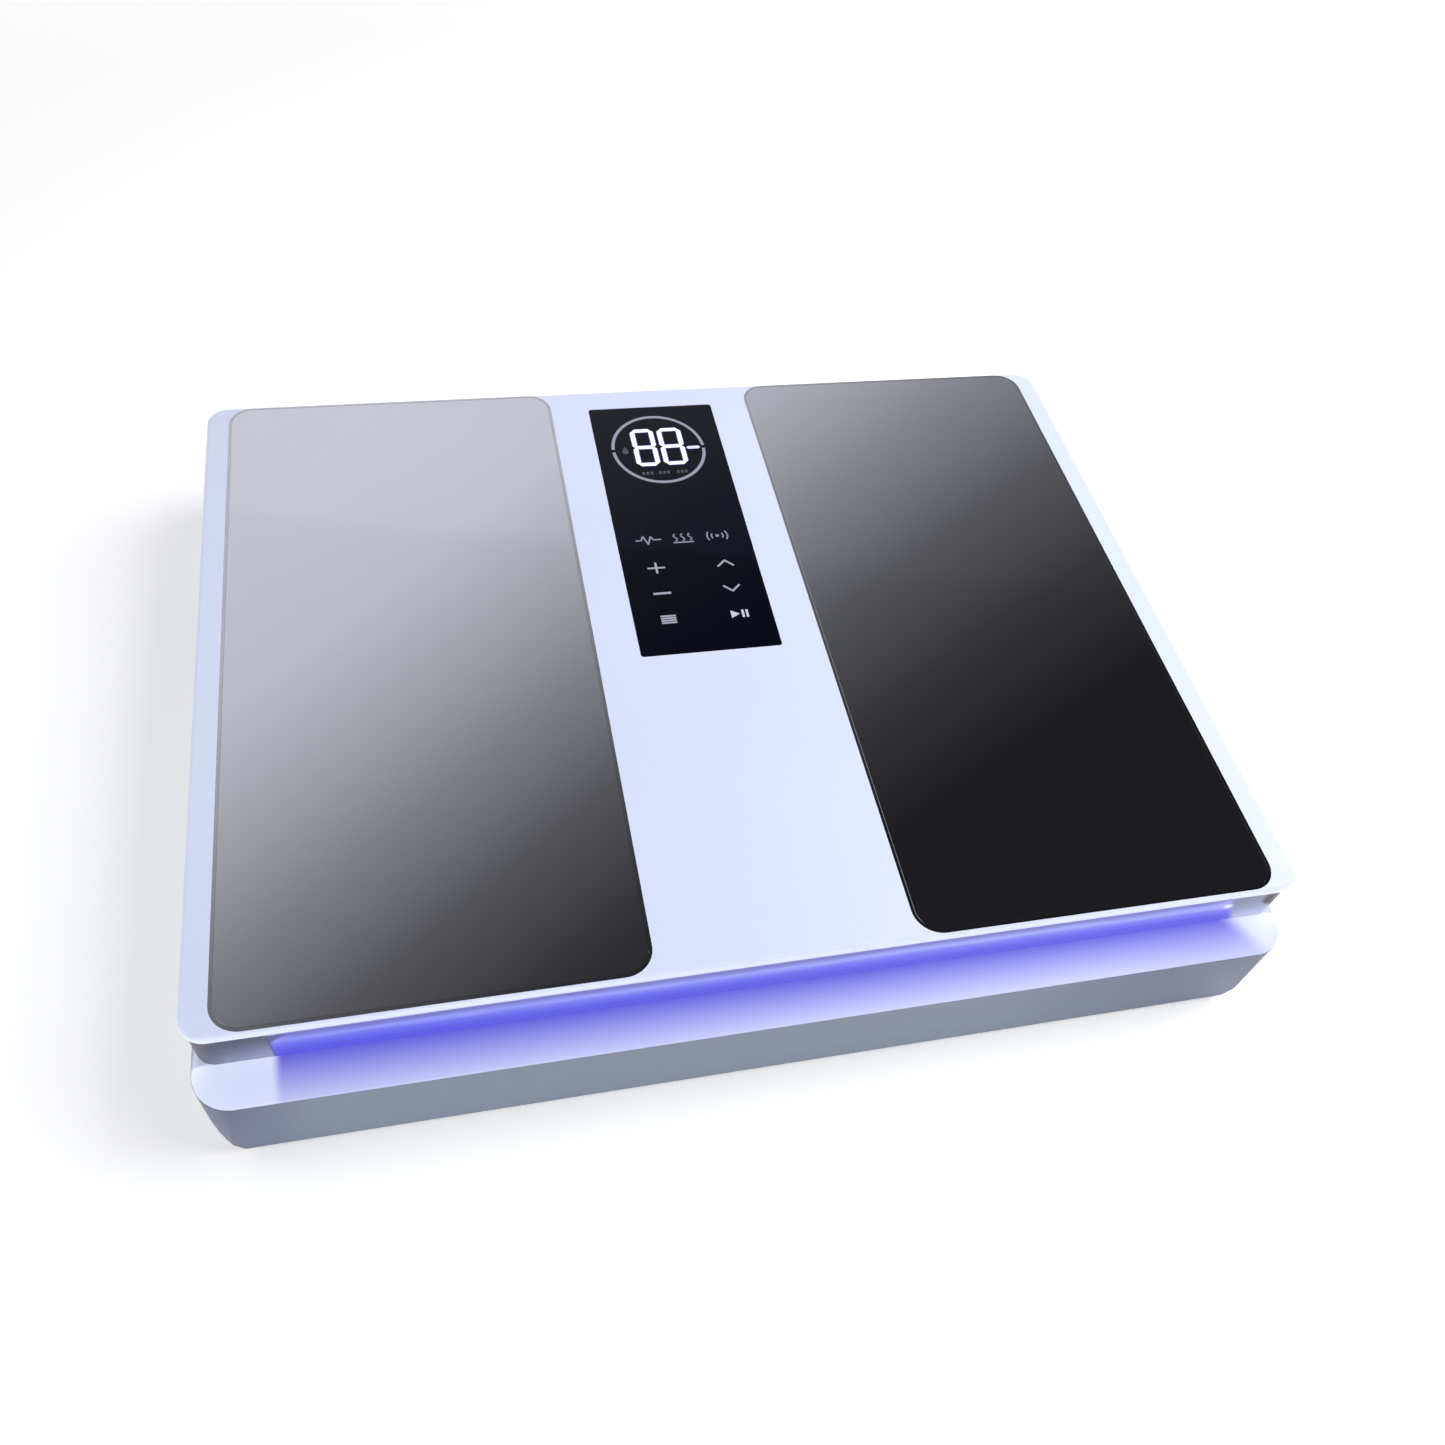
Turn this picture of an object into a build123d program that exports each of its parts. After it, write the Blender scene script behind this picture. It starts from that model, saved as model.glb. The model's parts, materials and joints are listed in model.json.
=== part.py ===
from build123d import *
import math
import os

# Heated foot therapy platform. Millimetres, +Z up, +X to the right of a person facing it, -Y towards them.
# The origin is on the floor, under the centre of the case.

# ---- heights, from the floor up ----
BASE_Z = 3.0                      # underside of the base tray, carried by the feet
LEDGE_OUT_Z = 46.5                # outer edge of the base's ledge
LEDGE_IN_Z = 50.5                 # inner edge of the ledge, where the mid frame stands
COVER_Z = 67.2                    # underside of the top cover
RIM_Z = 70.8                      # underside of the top cover's rim
TOP_Z = 74.0                      # top of the deck, flush with glass and lens

# ---- outlines: half length along X, half width along Y, corner radius ----
DECK = (211.0, 161.2, 9.5)
NECK = (210.0, 160.0, 8.5)
BASE = (211.7, 175.7, 15.0)
BASE_FOOT_HX = 201.0              # half length of the base at its bottom, where the ends curve under
BASE_FOOT_HY = 173.3              # half width of the base at its bottom, where front and rear lean in
END_CURVE_Z = 43.0                # the base's end walls start to curve under at this height
DECK_EDGE_R = 2.0
LEDGE_EDGE_R = 0.8
RIB_T = 2.0                       # stiffening ribs of the base and the cover
RIB_H = 6.0
BASE_RIB_Y = (-168.0, 150.0)      # ribs that run front to back
BASE_RIB_HX = 199.0               # rib that runs from side to side
COVER_RIB_X = (-18.0, 0.0, 18.0)
COVER_RIB_Y = (-140.0, -25.0)
LOCATOR_T = 1.4                   # ribs that locate the mid frame from inside
LOCATOR_H = 1.2
SKIRT_H = 3.0

WALL = 3.0                        # base tray wall and floor
NECK_WALL = 2.6
SHELF = (202.0, 152.0, 6.0)       # opening in the base's ledge
SHELF_FRONT_Y = -SHELF[1]
FIT = 0.2                         # gap between plastic pieces that slide together
BITE = 0.5                        # how far a rib or post reaches into what it stands on
CUT = 1.0                         # how far a cut runs on past the face that it opens

# ---- foot plates ----
PLATE_X = 125.2                   # centre of each plate from the middle
PLATE = (75.8, 160.0, 11.0)       # pocket in the deck
GASKET_W = 1.3                    # visible width of the gasket
GLASS_T = 2.6
GLASS_EDGE = 0.12                 # polished chamfer round the glass
GASKET_DROP = 0.05                # the gasket's top below the glass
GASKET_T = 0.4                    # gasket flange under the glass
PLATE_FLOOR_Z = TOP_Z - GLASS_T - GASKET_T
GASKET_LAP = 8.0                  # how far the flange reaches in under the glass
FILM = (64.0, 148.0, 4.0)
PLATE_WINDOW = (56.2, 134.0, 6.0)
TRAY = (64.5, 142.0, 8.0)
TRAY_PAN = (58.2, 136.0, 8.0)
TRAY_SCREW_X = 61.2
TRAY_SCREW_Y = (-120.0, -40.0, 40.0, 120.0)
TRAY_T = 2.0
TRAY_FLOOR_Z = 56.0
TRAY_RIB_HX = 52.0
TRAY_RIB_Y = (-100.0, -50.0, 50.0, 100.0)
COIL_Z = (60.5, 64.0)
PAD_BOTTOM_Z = 64.0
CUTOUT_R = 8.0
CUTOUT_H = 5.0                    # height of the thermostat's disc
CUTOUT_CAP_H = 2.0
CUTOUT_HOLE_R = 11.0
BLADE_X = 4.0                     # the thermostat's blades, either side of its middle
BLADE_END = 12.0                  # from the glass down to the ends of its blades

# ---- display ----
LENS_Y = 66.3                     # centre of the lens, behind the middle of the deck
LENS = (31.1, 81.0, 1.5)
LENS_T = 2.0
TAPE_T = 0.4
LENS_FLOOR_Z = TOP_Z - LENS_T - TAPE_T
LENS_WINDOW = (27.1, 77.0, 2.0)
PANEL_BOARD = (34.0, 84.0, 2.0)
PANEL_HOLE_IN = 3.2               # from the display board's long edges to its screws
BOARD_T = 1.6
RING_Y = 115.3
RING_R = (22.2, 24.3)             # inner and outer radius of the ring of light
DIGIT_X = (-7.5, 6.1)             # centre of each digit
DIGIT_Y = 116.8
DIGIT_BODY = (13.8, 15.2)         # half length and half width of the two-digit module
DIGIT_BODY_X = -0.7
DIGIT_BODY_CHAMFER = 3.6
DIGIT_WELL = (3.4, 3.8, 0.6)      # dark middle of each loop of a digit
DIGIT_WELL_Y = 6.4
KEY_X = (-15.8, 16.0)
KEY_Y = (5.3, 20.8, 36.4)
MODE_X = (-16.4, -0.4, 15.9)
MODE_Y = 54.1
MODE_LIGHT = (5.3, 2.9, 0.6)
SHIELD_Z = TOP_Z - LENS_T - 0.3   # top of the light shield, just under the lens

# ---- light bar ----
BAR_HX = 183.0
BAR_Z = (51.9, 67.0)
BAR_LIP_T = 0.8                   # lower lip that hides the rail
BAR_FLANGE = 1.6                  # flange behind the frame wall
STRIP_Y = -154.6                  # face of the LED board

# ---- case posts and screws ----
POST_X = (-195.0, -55.4, 55.4, 195.0)
POST_Y = (-146.5, 0.0, 146.5)
POST_R = 4.6
POST_SPLIT_Z = 52.0               # base posts end here and the cover's bosses begin
POST_HOLE_H = 12.0                # depth of the thread in the cover's bosses
SCREW_R = 1.5
SCREW_HEAD_R = 2.8
SCREW_SEAT_Z = 46.0
CASE_SCREW_L = 16.0
SHORT_SCREW_L = 8.0
THREAD_GAP = 0.05                 # holes that a screw's thread fills
SHANK_GAP = 0.1                   # holes that a screw passes through
DRIVE = 0.8                       # width and depth of a screw's cross slot
DRIVE_REACH = 0.65                # its reach, as a share of the head's radius
HEAD_DEPTH = 0.75                 # a head's height, as a share of its radius

# ---- feet ----
FOOT_X = 172.0
FOOT_Y = 140.0
FOOT_R = 11.5
FOOT_SINK = 1.5                   # depth of the foot's recess in the base
FOOT_EDGE_R = 0.8
FOOT_SEAT_Z = BASE_Z - 0.5        # seat of the foot's screw
FOOT_BOSS_R = 5.0

# ---- boards in the base ----
BOARD_Z = 14.0
CONTROL = (60.0, 40.0, 0.0, -72.0)      # half length, half width, centre x, centre y
DRIVER = (84.0, 54.0, 0.0, 78.0)
BOARD_HOLE_IN = 5.0               # from a board's edges to its screws
BOARD_POST_R = 3.5

# ---- connection bay at the rear ----
BAY_HX = 45.0
BAY_Z = (12.0, 40.0)
BAY_FLOOR_Y = 167.0
BAY_WALL = 2.5
PORT_Z = 26.0
INLET_X = -22.0
SWITCH_X = 20.0
SWITCH_PIVOT_Y = 164.5
ROCKER_REST = 9.0                 # degrees that the rocker leans either side of level

# ---- small sizes ----
TRAY_SCREW_R = 1.2
TRAY_SCREW_HEAD_R = 2.2
TRAY_SCREW_L = 4.2
TRAY_HOLE_H = 2.8                 # depth of its thread in the cover
STRIP_T = 1.0                     # LED board thickness
STRIP_LEDS = 24
STRIP_END = 8.0                   # from the bar's end to the first LED
LED = (3.5, 0.9, 2.8)             # length, thickness and height of one LED
CLIP_X = (-150.0, -75.0, 0.0, 75.0, 150.0)
CLIP_T = 1.2
CLIP_HX = 3.0
CLIP_BACK_H = 5.0
CLIP_FRONT_H = 2.0
RAIL_HX = 187.0                   # half length of the rail under the light bar
RAIL_SET_BACK = 1.0               # from the frame's face to the rail's
KEY_PAD_R = 4.0
KEY_PAD_BASE_H = 0.8
COIL = (52.0, 128.0, 14.0)
COIL_BORE = (16.0, 92.0, 4.0)
COIL_BACK_T = 1.0
COIL_TURNS = 10
COIL_PITCH = 3.5
COIL_WIRE = 2.6
COIL_LEAD_X = 49.0                # where the coil's lead leaves, from the plate's centre
CHIPS = (                         # half length, half width, height, x, y
    (7.0, 7.0, 1.6, -8.0, -70.0),
    (4.0, 2.5, 1.6, 18.0, -86.0),
    (4.0, 2.5, 1.6, 18.0, -60.0),
    (5.0, 3.5, 2.0, -36.0, -88.0),
)
CONTROL_HEADERS = ((-30.0, -106.0, 6.0), (0.0, -38.0, 6.0), (0.0, -99.0, 9.0))
DRIVER_HEADERS = (
    (-34.0, 124.0, 6.0),
    (34.0, 124.0, 6.0),
    (0.0, 30.0, 6.0),
    (-62.0, 40.0, 7.0),
    (62.0, 40.0, 7.0),
)
CONTACT_PITCH = 2.5
CONTACT_SLOT = (1.2, 1.6, 3.0)    # length, width and depth of a header's contact slot
BUZZER_AT = (42.0, -60.0)
BUZZER_R = 6.0
BUZZER_H = 8.0
HEAT_SINK_AT = (0.0, 70.0)
HEAT_SINK = (22.0, 14.0, 3.0)     # half length, half width and height of its foot
FINS = 8
FIN_SPAN = 40.0
FIN_T = 1.6
FIN_TOP = 20.0
TRANSFORMER_AT = (-48.0, 96.0)
CORE = (16.0, 11.0, 22.0)
CORE_WINDOW = (11.0, 5.0, 17.0)   # half length, and its lower and upper edges above the board
WINDING = (10.8, 14.0, 3.0)
CAPACITOR_AT = ((38.0, 100.0), (56.0, 100.0), (47.0, 84.0))
CAPACITOR_R = 7.0
CAPACITOR_H = 22.0
RATING = (40.0, 22.0, 2.0)
RATING_Y = -70.0
RATING_T = 0.4
INLET_R = 4.0
INLET_DEPTH = 11.0
INLET_FLANGE = (5.8, 1.6)         # radius and thickness
NUT_R = 7.0
NUT_T = 2.5
SOCKET_R = 3.1
SOCKET_DEPTH = 8.0
SOCKET_PIN_R = 1.05
SOCKET_PIN_SET_BACK = 1.0
SWITCH_BODY = (9.4, 6.9)          # half length along X, half height along Z
SWITCH_BEZEL = (10.5, 8.0)
SWITCH_CAVITY = (8.0, 5.0)
SWITCH_BACK_Y = 154.0
SWITCH_BACK_T = 3.0
BEZEL_T = 2.0
BEZEL_EDGE_R = 0.5
ROCKER_TIP = 5.4                  # from the pivot out to the ends of the rocker's face
ROCKER_DIP = 3.6                  # and to the lowest point of the face
ROCKER_BACK = 2.6
ROCKER_HUB = (2.2, 1.2, 2.0)      # half length of the hub, and its reach in front of and behind the pivot
PIN_R = 1.0
PIN_GAP = 0.06
PIN_BITE = 1.1                    # how far each pin reaches into the housing's wall
SWITCH_BLADE = (5.0, 0.8, 8.0, 4.8)     # offset, thickness, length and height
INLET_BLADE = (2.4, 0.6, 6.0, 3.0)
LEAD_R = 1.2
HEADER_T = 7.0                    # height of the headers on the boards
HEADER_HY = 3.5
RIBBON_Y = (-10.0, -99.0)         # where the ribbon leaves the display board and meets its header
RIBBON_W = 14.0
RIBBON_T = 0.8


def prism(half_x, half_y, radius, z0, z1, x=0.0, y=0.0):
    """Rounded rectangle about (x, y), from z0 up to z1."""
    outline = Pos(x, y, z0) * RectangleRounded(2 * half_x, 2 * half_y, radius)
    return extrude(outline, z1 - z0)


def inset(outline, amount):
    """The same outline, moved in by an amount all round."""
    half_x, half_y, radius = outline
    return half_x - amount, half_y - amount, max(radius - amount, 0.5)


def block(x0, x1, y0, y1, z0, z1):
    centre = Pos((x0 + x1) / 2, (y0 + y1) / 2, (z0 + z1) / 2)
    return centre * Box(x1 - x0, y1 - y0, z1 - z0)


def rod(x, y, z0, z1, radius):
    return Pos(x, y, (z0 + z1) / 2) * Cylinder(radius, z1 - z0)


def rod_y(x, z, y0, y1, radius):
    return Pos(x, (y0 + y1) / 2, z) * Rot(90, 0, 0) * Cylinder(radius, y1 - y0)


def side_name(side):
    return "left" if side < 0 else "right"


def save(shape, name):
    shape.label = name
    export_step(shape, f"parts/{name}.step")


def group(solids):
    return Compound(children=list(solids))


# ---- case ----

def base_form(wall):
    """The base's outer form, or with a wall thickness the hollow inside it."""
    half_x, half_y, radius = inset(BASE, wall)
    neck_x, neck_y, neck_r = inset(NECK, wall)
    bottom = BASE_Z + wall
    brow = LEDGE_OUT_Z - wall
    plan = prism(half_x, half_y, radius, bottom, brow)
    foot_y = BASE_FOOT_HY - wall
    lean = Polyline((-foot_y, bottom), (foot_y, bottom), (half_y, brow), (-half_y, brow), close=True)
    lean_form = extrude(Plane.YZ * make_face(lean), 2 * half_x, both=True)
    foot_x = BASE_FOOT_HX - wall
    ends = [
        Line((-foot_x, bottom), (foot_x, bottom)),
        TangentArc((half_x, END_CURVE_Z), (foot_x, bottom), tangent=(0, -1)),
        Line((half_x, END_CURVE_Z), (half_x, brow)),
        Line((half_x, brow), (-half_x, brow)),
        Line((-half_x, brow), (-half_x, END_CURVE_Z)),
        TangentArc((-half_x, END_CURVE_Z), (-foot_x, bottom), tangent=(0, -1)),
    ]
    end_form = extrude(Plane.XZ * make_face(ends), 2 * half_y, both=True)
    outer_edge = Pos(0, 0, brow) * RectangleRounded(2 * half_x, 2 * half_y, radius)
    inner_edge = Pos(0, 0, LEDGE_IN_Z - wall) * RectangleRounded(2 * neck_x, 2 * neck_y, neck_r)
    ledge = loft([outer_edge, inner_edge], ruled=True)
    body = plan & lean_form & end_form
    return body + ledge


def at_height(shape, z):
    """Edges of a shape that lie level at a height."""
    level = []
    for edge in shape.edges():
        box = edge.bounding_box()
        if abs(box.min.Z - z) < 0.05 and abs(box.max.Z - z) < 0.05:
            level.append(edge)
    return level


def post_places():
    return [(x, y) for x in POST_X for y in POST_Y]


def foot_places():
    return [(x, y) for x in (-FOOT_X, FOOT_X) for y in (-FOOT_Y, FOOT_Y)]


def board_corners(outline):
    half_x, half_y, x, y = outline
    reach_x = half_x - BOARD_HOLE_IN
    reach_y = half_y - BOARD_HOLE_IN
    return [(x + i * reach_x, y + j * reach_y) for i in (-1, 1) for j in (-1, 1)]


def base_tray():
    form = base_form(0.0)
    form = fillet(at_height(form, LEDGE_OUT_Z), LEDGE_EDGE_R)
    tray = form - base_form(WALL)
    tray -= prism(*SHELF, LEDGE_OUT_Z - WALL - CUT, LEDGE_IN_Z + CUT)
    floor_z = BASE_Z + WALL
    rib_z = (floor_z - BITE, floor_z + RIB_H)
    for x in POST_X:
        tray += block(x - RIB_T / 2, x + RIB_T / 2, *BASE_RIB_Y, *rib_z)
    tray += block(-BASE_RIB_HX, BASE_RIB_HX, -RIB_T / 2, RIB_T / 2, *rib_z)
    tray += frame_locator()
    for x, y in post_places():
        tray += rod(x, y, floor_z - BITE, POST_SPLIT_Z, POST_R)
    tray += bay_walls()
    for x, y in post_places():
        tray -= rod(x, y, BASE_Z - CUT, SCREW_SEAT_Z, SCREW_HEAD_R + 0.3)
        tray -= rod(x, y, SCREW_SEAT_Z - CUT, POST_SPLIT_Z + CUT, SCREW_R + SHANK_GAP)
    for x, y in foot_places():
        tray += rod(x, y, floor_z - BITE, floor_z + RIB_H, FOOT_BOSS_R)
        tray -= rod(x, y, BASE_Z - CUT, BASE_Z + FOOT_SINK, FOOT_R + 0.1)
        tray -= rod(x, y, BASE_Z, floor_z + RIB_H - CUT, SCREW_R + THREAD_GAP)
    for board_outline in (CONTROL, DRIVER):
        for x, y in board_corners(board_outline):
            tray += rod(x, y, floor_z - BITE, BOARD_Z, BOARD_POST_R)
            tray -= rod(x, y, floor_z + CUT, BOARD_Z + CUT, SCREW_R + THREAD_GAP)
    tray -= prism(*inset(RATING, -FIT), BASE_Z - CUT, BASE_Z + RATING_T, 0.0, RATING_Y)
    tray -= block(-BAY_HX, BAY_HX, BAY_FLOOR_Y, BASE[1] + CUT, *BAY_Z)
    tray -= rod_y(INLET_X, PORT_Z, BAY_FLOOR_Y - BAY_WALL - CUT, BAY_FLOOR_Y + CUT, INLET_R + 0.1)
    tray -= switch_block(SWITCH_BODY, BAY_FLOOR_Y - BAY_WALL - CUT, BAY_FLOOR_Y + CUT, 0.1)
    return tray


def frame_locator():
    """Low rib round the ledge, just inside the mid frame's wall, open where the rail stands."""
    outline = inset(NECK, NECK_WALL + FIT)
    rib = prism(*outline, LEDGE_IN_Z - BITE, LEDGE_IN_Z + LOCATOR_H)
    rib -= prism(*inset(outline, LOCATOR_T), LEDGE_IN_Z - CUT, LEDGE_IN_Z + LOCATOR_H + CUT)
    half = RAIL_HX + CUT
    rib -= block(-half, half, -NECK[1], SHELF_FRONT_Y, LEDGE_IN_Z, LEDGE_IN_Z + LOCATOR_H + CUT)
    return rib


def bay_walls():
    """Inner walls of the rear bay that holds the inlet and the switch."""
    low, high = BAY_Z
    half = BAY_HX + BAY_WALL
    return block(-half, half, BAY_FLOOR_Y - BAY_WALL, BASE_FOOT_HY - CUT, low - BAY_WALL, high + BAY_WALL)


def mid_frame():
    """Recessed wall between the base and the deck, open at the front for the light bar."""
    frame = prism(*NECK, LEDGE_IN_Z, COVER_Z)
    frame -= prism(*inset(NECK, NECK_WALL), LEDGE_IN_Z - CUT, COVER_Z + CUT)
    front = -NECK[1]
    half = BAR_HX + SHANK_GAP
    frame -= block(-half, half, front - CUT, front + NECK_WALL + CUT, LEDGE_IN_Z - CUT, COVER_Z + CUT)
    # rail under the bar, with clips that hold the LED board upright
    back = STRIP_Y + STRIP_T
    rail_z = BAR_Z[0] - 0.1
    frame += block(-RAIL_HX, RAIL_HX, front + RAIL_SET_BACK, back + CLIP_T, LEDGE_IN_Z, rail_z)
    for x in CLIP_X:
        x0 = x - CLIP_HX
        x1 = x + CLIP_HX
        frame += block(x0, x1, back, back + CLIP_T, rail_z - BITE, rail_z + CLIP_BACK_H)
        frame += block(x0, x1, STRIP_Y - CLIP_T + 0.1, STRIP_Y, rail_z - BITE, rail_z + CLIP_FRONT_H)
    return frame


def top_cover():
    cover = prism(*DECK, RIM_Z, TOP_Z)
    cover = fillet(at_height(cover, TOP_Z), DECK_EDGE_R)
    cover += prism(*NECK, COVER_Z, RIM_Z)
    for side in (-1, 1):
        x = side * PLATE_X
        cover -= prism(*PLATE, PLATE_FLOOR_Z, TOP_Z + CUT, x)
        cover -= prism(*PLATE_WINDOW, COVER_Z - CUT, TOP_Z, x)
    cover -= prism(*LENS, LENS_FLOOR_Z, TOP_Z + CUT, 0.0, LENS_Y)
    cover -= prism(*LENS_WINDOW, COVER_Z - CUT, TOP_Z, 0.0, LENS_Y)
    for x, y in tray_screw_places(-1) + tray_screw_places(1) + panel_screw_places():
        cover -= rod(x, y, COVER_Z - CUT, COVER_Z + TRAY_HOLE_H, TRAY_SCREW_R + THREAD_GAP)
    cover += cover_skirt()
    # stiffening ribs along the middle of the deck, in front of the display
    for x in COVER_RIB_X:
        cover += block(x - RIB_T / 2, x + RIB_T / 2, *COVER_RIB_Y, COVER_Z - RIB_H, COVER_Z + BITE)
    for x, y in post_places():
        cover += rod(x, y, POST_SPLIT_Z, COVER_Z + BITE, POST_R)
        cover -= rod(x, y, POST_SPLIT_Z - CUT, POST_SPLIT_Z + POST_HOLE_H, SCREW_R + THREAD_GAP)
    return cover


def cover_skirt():
    """Rib under the cover, just inside the mid frame, open at the front for the light bar."""
    outline = inset(NECK, NECK_WALL + FIT)
    skirt = prism(*outline, COVER_Z - SKIRT_H, COVER_Z + BITE)
    skirt -= prism(*inset(outline, LOCATOR_T), COVER_Z - SKIRT_H - CUT, COVER_Z + CUT)
    half = RAIL_HX + CUT
    return skirt - block(-half, half, -NECK[1], SHELF_FRONT_Y, COVER_Z - SKIRT_H - CUT, COVER_Z)


# ---- foot plates ----

def foot_plate(side):
    glass = prism(*inset(PLATE, GASKET_W), TOP_Z - GLASS_T, TOP_Z, side * PLATE_X)
    return chamfer(at_height(glass, TOP_Z), GLASS_EDGE)


def plate_gasket(side):
    """Thin seal round the glass, with a flange under its edge."""
    x = side * PLATE_X
    seal = prism(*PLATE, PLATE_FLOOR_Z, TOP_Z - GASKET_DROP, x)
    seal -= prism(*inset(PLATE, GASKET_W), PLATE_FLOOR_Z + GASKET_T, TOP_Z, x)
    seal -= prism(*inset(PLATE, GASKET_LAP), PLATE_FLOOR_Z - CUT, TOP_Z, x)
    return seal


def heater_film(side):
    """Printed heating film on the underside of the glass."""
    return prism(*FILM, PLATE_FLOOR_Z, PLATE_FLOOR_Z + GASKET_T, side * PLATE_X)


def insulation_pad(side):
    x = side * PLATE_X
    pad = prism(*inset(PLATE_WINDOW, 2 * FIT), PAD_BOTTOM_Z, PLATE_FLOOR_Z, x)
    return pad - rod(x, 0, PAD_BOTTOM_Z - CUT, PLATE_FLOOR_Z + CUT, CUTOUT_HOLE_R)


def pulse_coil(side):
    """Flat racetrack winding: spaced turns on a thin backing."""
    x = side * PLATE_X
    low, high = COIL_Z
    coil = prism(*COIL, low, low + COIL_BACK_T, x) - prism(*COIL_BORE, low - CUT, high, x)
    for turn in range(COIL_TURNS):
        outer = inset(COIL, turn * COIL_PITCH)
        ring = prism(*outer, low + COIL_BACK_T, high, x)
        coil += ring - prism(*inset(outer, COIL_WIRE), low, high + CUT, x)
    return coil


def thermal_cutout(side):
    """Disc thermostat that opens if the plate gets too hot."""
    x = side * PLATE_X
    disc_z = PLATE_FLOOR_Z - CUTOUT_H
    cap_z = disc_z - CUTOUT_CAP_H
    disc = rod(x, 0, disc_z, PLATE_FLOOR_Z, CUTOUT_R)
    disc += rod(x, 0, cap_z, disc_z, CUTOUT_R - 1.5)
    for offset in (-BLADE_X, BLADE_X):
        blade_x = x + offset
        disc += block(blade_x - 0.4, blade_x + 0.4, -2.4, 2.4, PLATE_FLOOR_Z - BLADE_END, cap_z + BITE)
    return disc


def tray_screw_places(side):
    x = side * PLATE_X
    return [(x + i * TRAY_SCREW_X, y) for i in (-1, 1) for y in TRAY_SCREW_Y]


def heater_tray(side):
    """Moulded pan that carries the coil and pad, screwed up under the top cover."""
    x = side * PLATE_X
    tray = prism(*TRAY, COVER_Z - TRAY_T, COVER_Z, x)
    tray += prism(*TRAY_PAN, TRAY_FLOOR_Z, COVER_Z, x)
    tray -= prism(*inset(TRAY_PAN, TRAY_T), TRAY_FLOOR_Z + TRAY_T, COVER_Z + CUT, x)
    for y in TRAY_RIB_Y:
        tray += block(x - TRAY_RIB_HX, x + TRAY_RIB_HX, y - 1, y + 1, TRAY_FLOOR_Z + 1, COIL_Z[0])
    for screw_x, screw_y in tray_screw_places(side):
        tray -= rod(screw_x, screw_y, COVER_Z - TRAY_T - CUT, COVER_Z + CUT, TRAY_SCREW_R + SHANK_GAP)
    # ways out for the coil's lead and the heater's
    coil_lead_x = x - side * COIL_LEAD_X
    hole_z = (TRAY_FLOOR_Z - CUT, TRAY_FLOOR_Z + TRAY_T + CUT)
    tray -= block(coil_lead_x - 4, coil_lead_x + 4, -4, 10, *hole_z)
    return tray - rod(x - BLADE_X, 0, *hole_z, LEAD_R + 2)


# ---- display ----

def display_lens():
    lens = prism(*inset(LENS, FIT / 2), TOP_Z - LENS_T, TOP_Z, 0.0, LENS_Y)
    return chamfer(at_height(lens, TOP_Z), 0.2)


def lens_tape():
    tape = prism(*inset(LENS, 0.3), LENS_FLOOR_Z, LENS_FLOOR_Z + TAPE_T, 0.0, LENS_Y)
    return tape - prism(*inset(LENS_WINDOW, -0.2), LENS_FLOOR_Z - CUT, TOP_Z, 0.0, LENS_Y)


def panel_screw_places():
    reach_x = PANEL_BOARD[0] - PANEL_HOLE_IN
    reach_y = PANEL_BOARD[1] - 2 * PANEL_HOLE_IN
    return [(i * reach_x, LENS_Y + j * reach_y) for i in (-1, 1) for j in (-1, 0, 1)]


def display_board():
    panel = prism(*PANEL_BOARD, COVER_Z - BOARD_T, COVER_Z, 0.0, LENS_Y)
    for x, y in panel_screw_places():
        panel -= rod(x, y, COVER_Z - BOARD_T - CUT, COVER_Z + CUT, TRAY_SCREW_R + SHANK_GAP)
    return panel


def digit_block(z0, z1, grow=0.0):
    """Body of the two-digit module, with its corners cut off."""
    half_x, half_y = DIGIT_BODY
    outline = chamfer(Rectangle(2 * (half_x + grow), 2 * (half_y + grow)).vertices(), DIGIT_BODY_CHAMFER)
    return extrude(Pos(DIGIT_BODY_X, DIGIT_Y, z0) * outline, z1 - z0)


def digit_module():
    body = digit_block(COVER_Z, SHIELD_Z)
    for x in DIGIT_X:
        for y in (DIGIT_Y - DIGIT_WELL_Y, DIGIT_Y + DIGIT_WELL_Y):
            body -= prism(*DIGIT_WELL, SHIELD_Z - 0.6, SHIELD_Z + CUT, x, y)
    return body


def ring_light_guide():
    inner, outer = RING_R
    return rod(0, RING_Y, COVER_Z, SHIELD_Z, outer) - rod(0, RING_Y, COVER_Z - CUT, SHIELD_Z + CUT, inner)


def light_shield():
    """Black frame that keeps the light of one mark away from the next."""
    inner, outer = RING_R
    shield = prism(*inset(LENS_WINDOW, 0.4), COVER_Z, SHIELD_Z, 0.0, LENS_Y)
    low = COVER_Z - CUT
    high = TOP_Z
    shield -= rod(0, RING_Y, low, high, outer + FIT)
    shield += rod(0, RING_Y, COVER_Z, SHIELD_Z, inner - FIT) - digit_block(low, high, FIT)
    for x in MODE_X:
        shield -= prism(*inset(MODE_LIGHT, -0.3), low, high, x, MODE_Y)
    for x in KEY_X:
        for y in KEY_Y:
            shield -= rod(x, y, low, high, KEY_PAD_R + 0.4)
    return shield


def touch_pad(x, y):
    """Conductive foam pad that carries a key's touch area up to the lens."""
    base = rod(x, y, COVER_Z, COVER_Z + KEY_PAD_BASE_H, KEY_PAD_R)
    return base + rod(x, y, COVER_Z, SHIELD_Z + 0.3, KEY_PAD_R - 0.8)


def mode_light(x):
    return prism(*MODE_LIGHT, COVER_Z, SHIELD_Z, x, MODE_Y)


# ---- light bar ----

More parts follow.
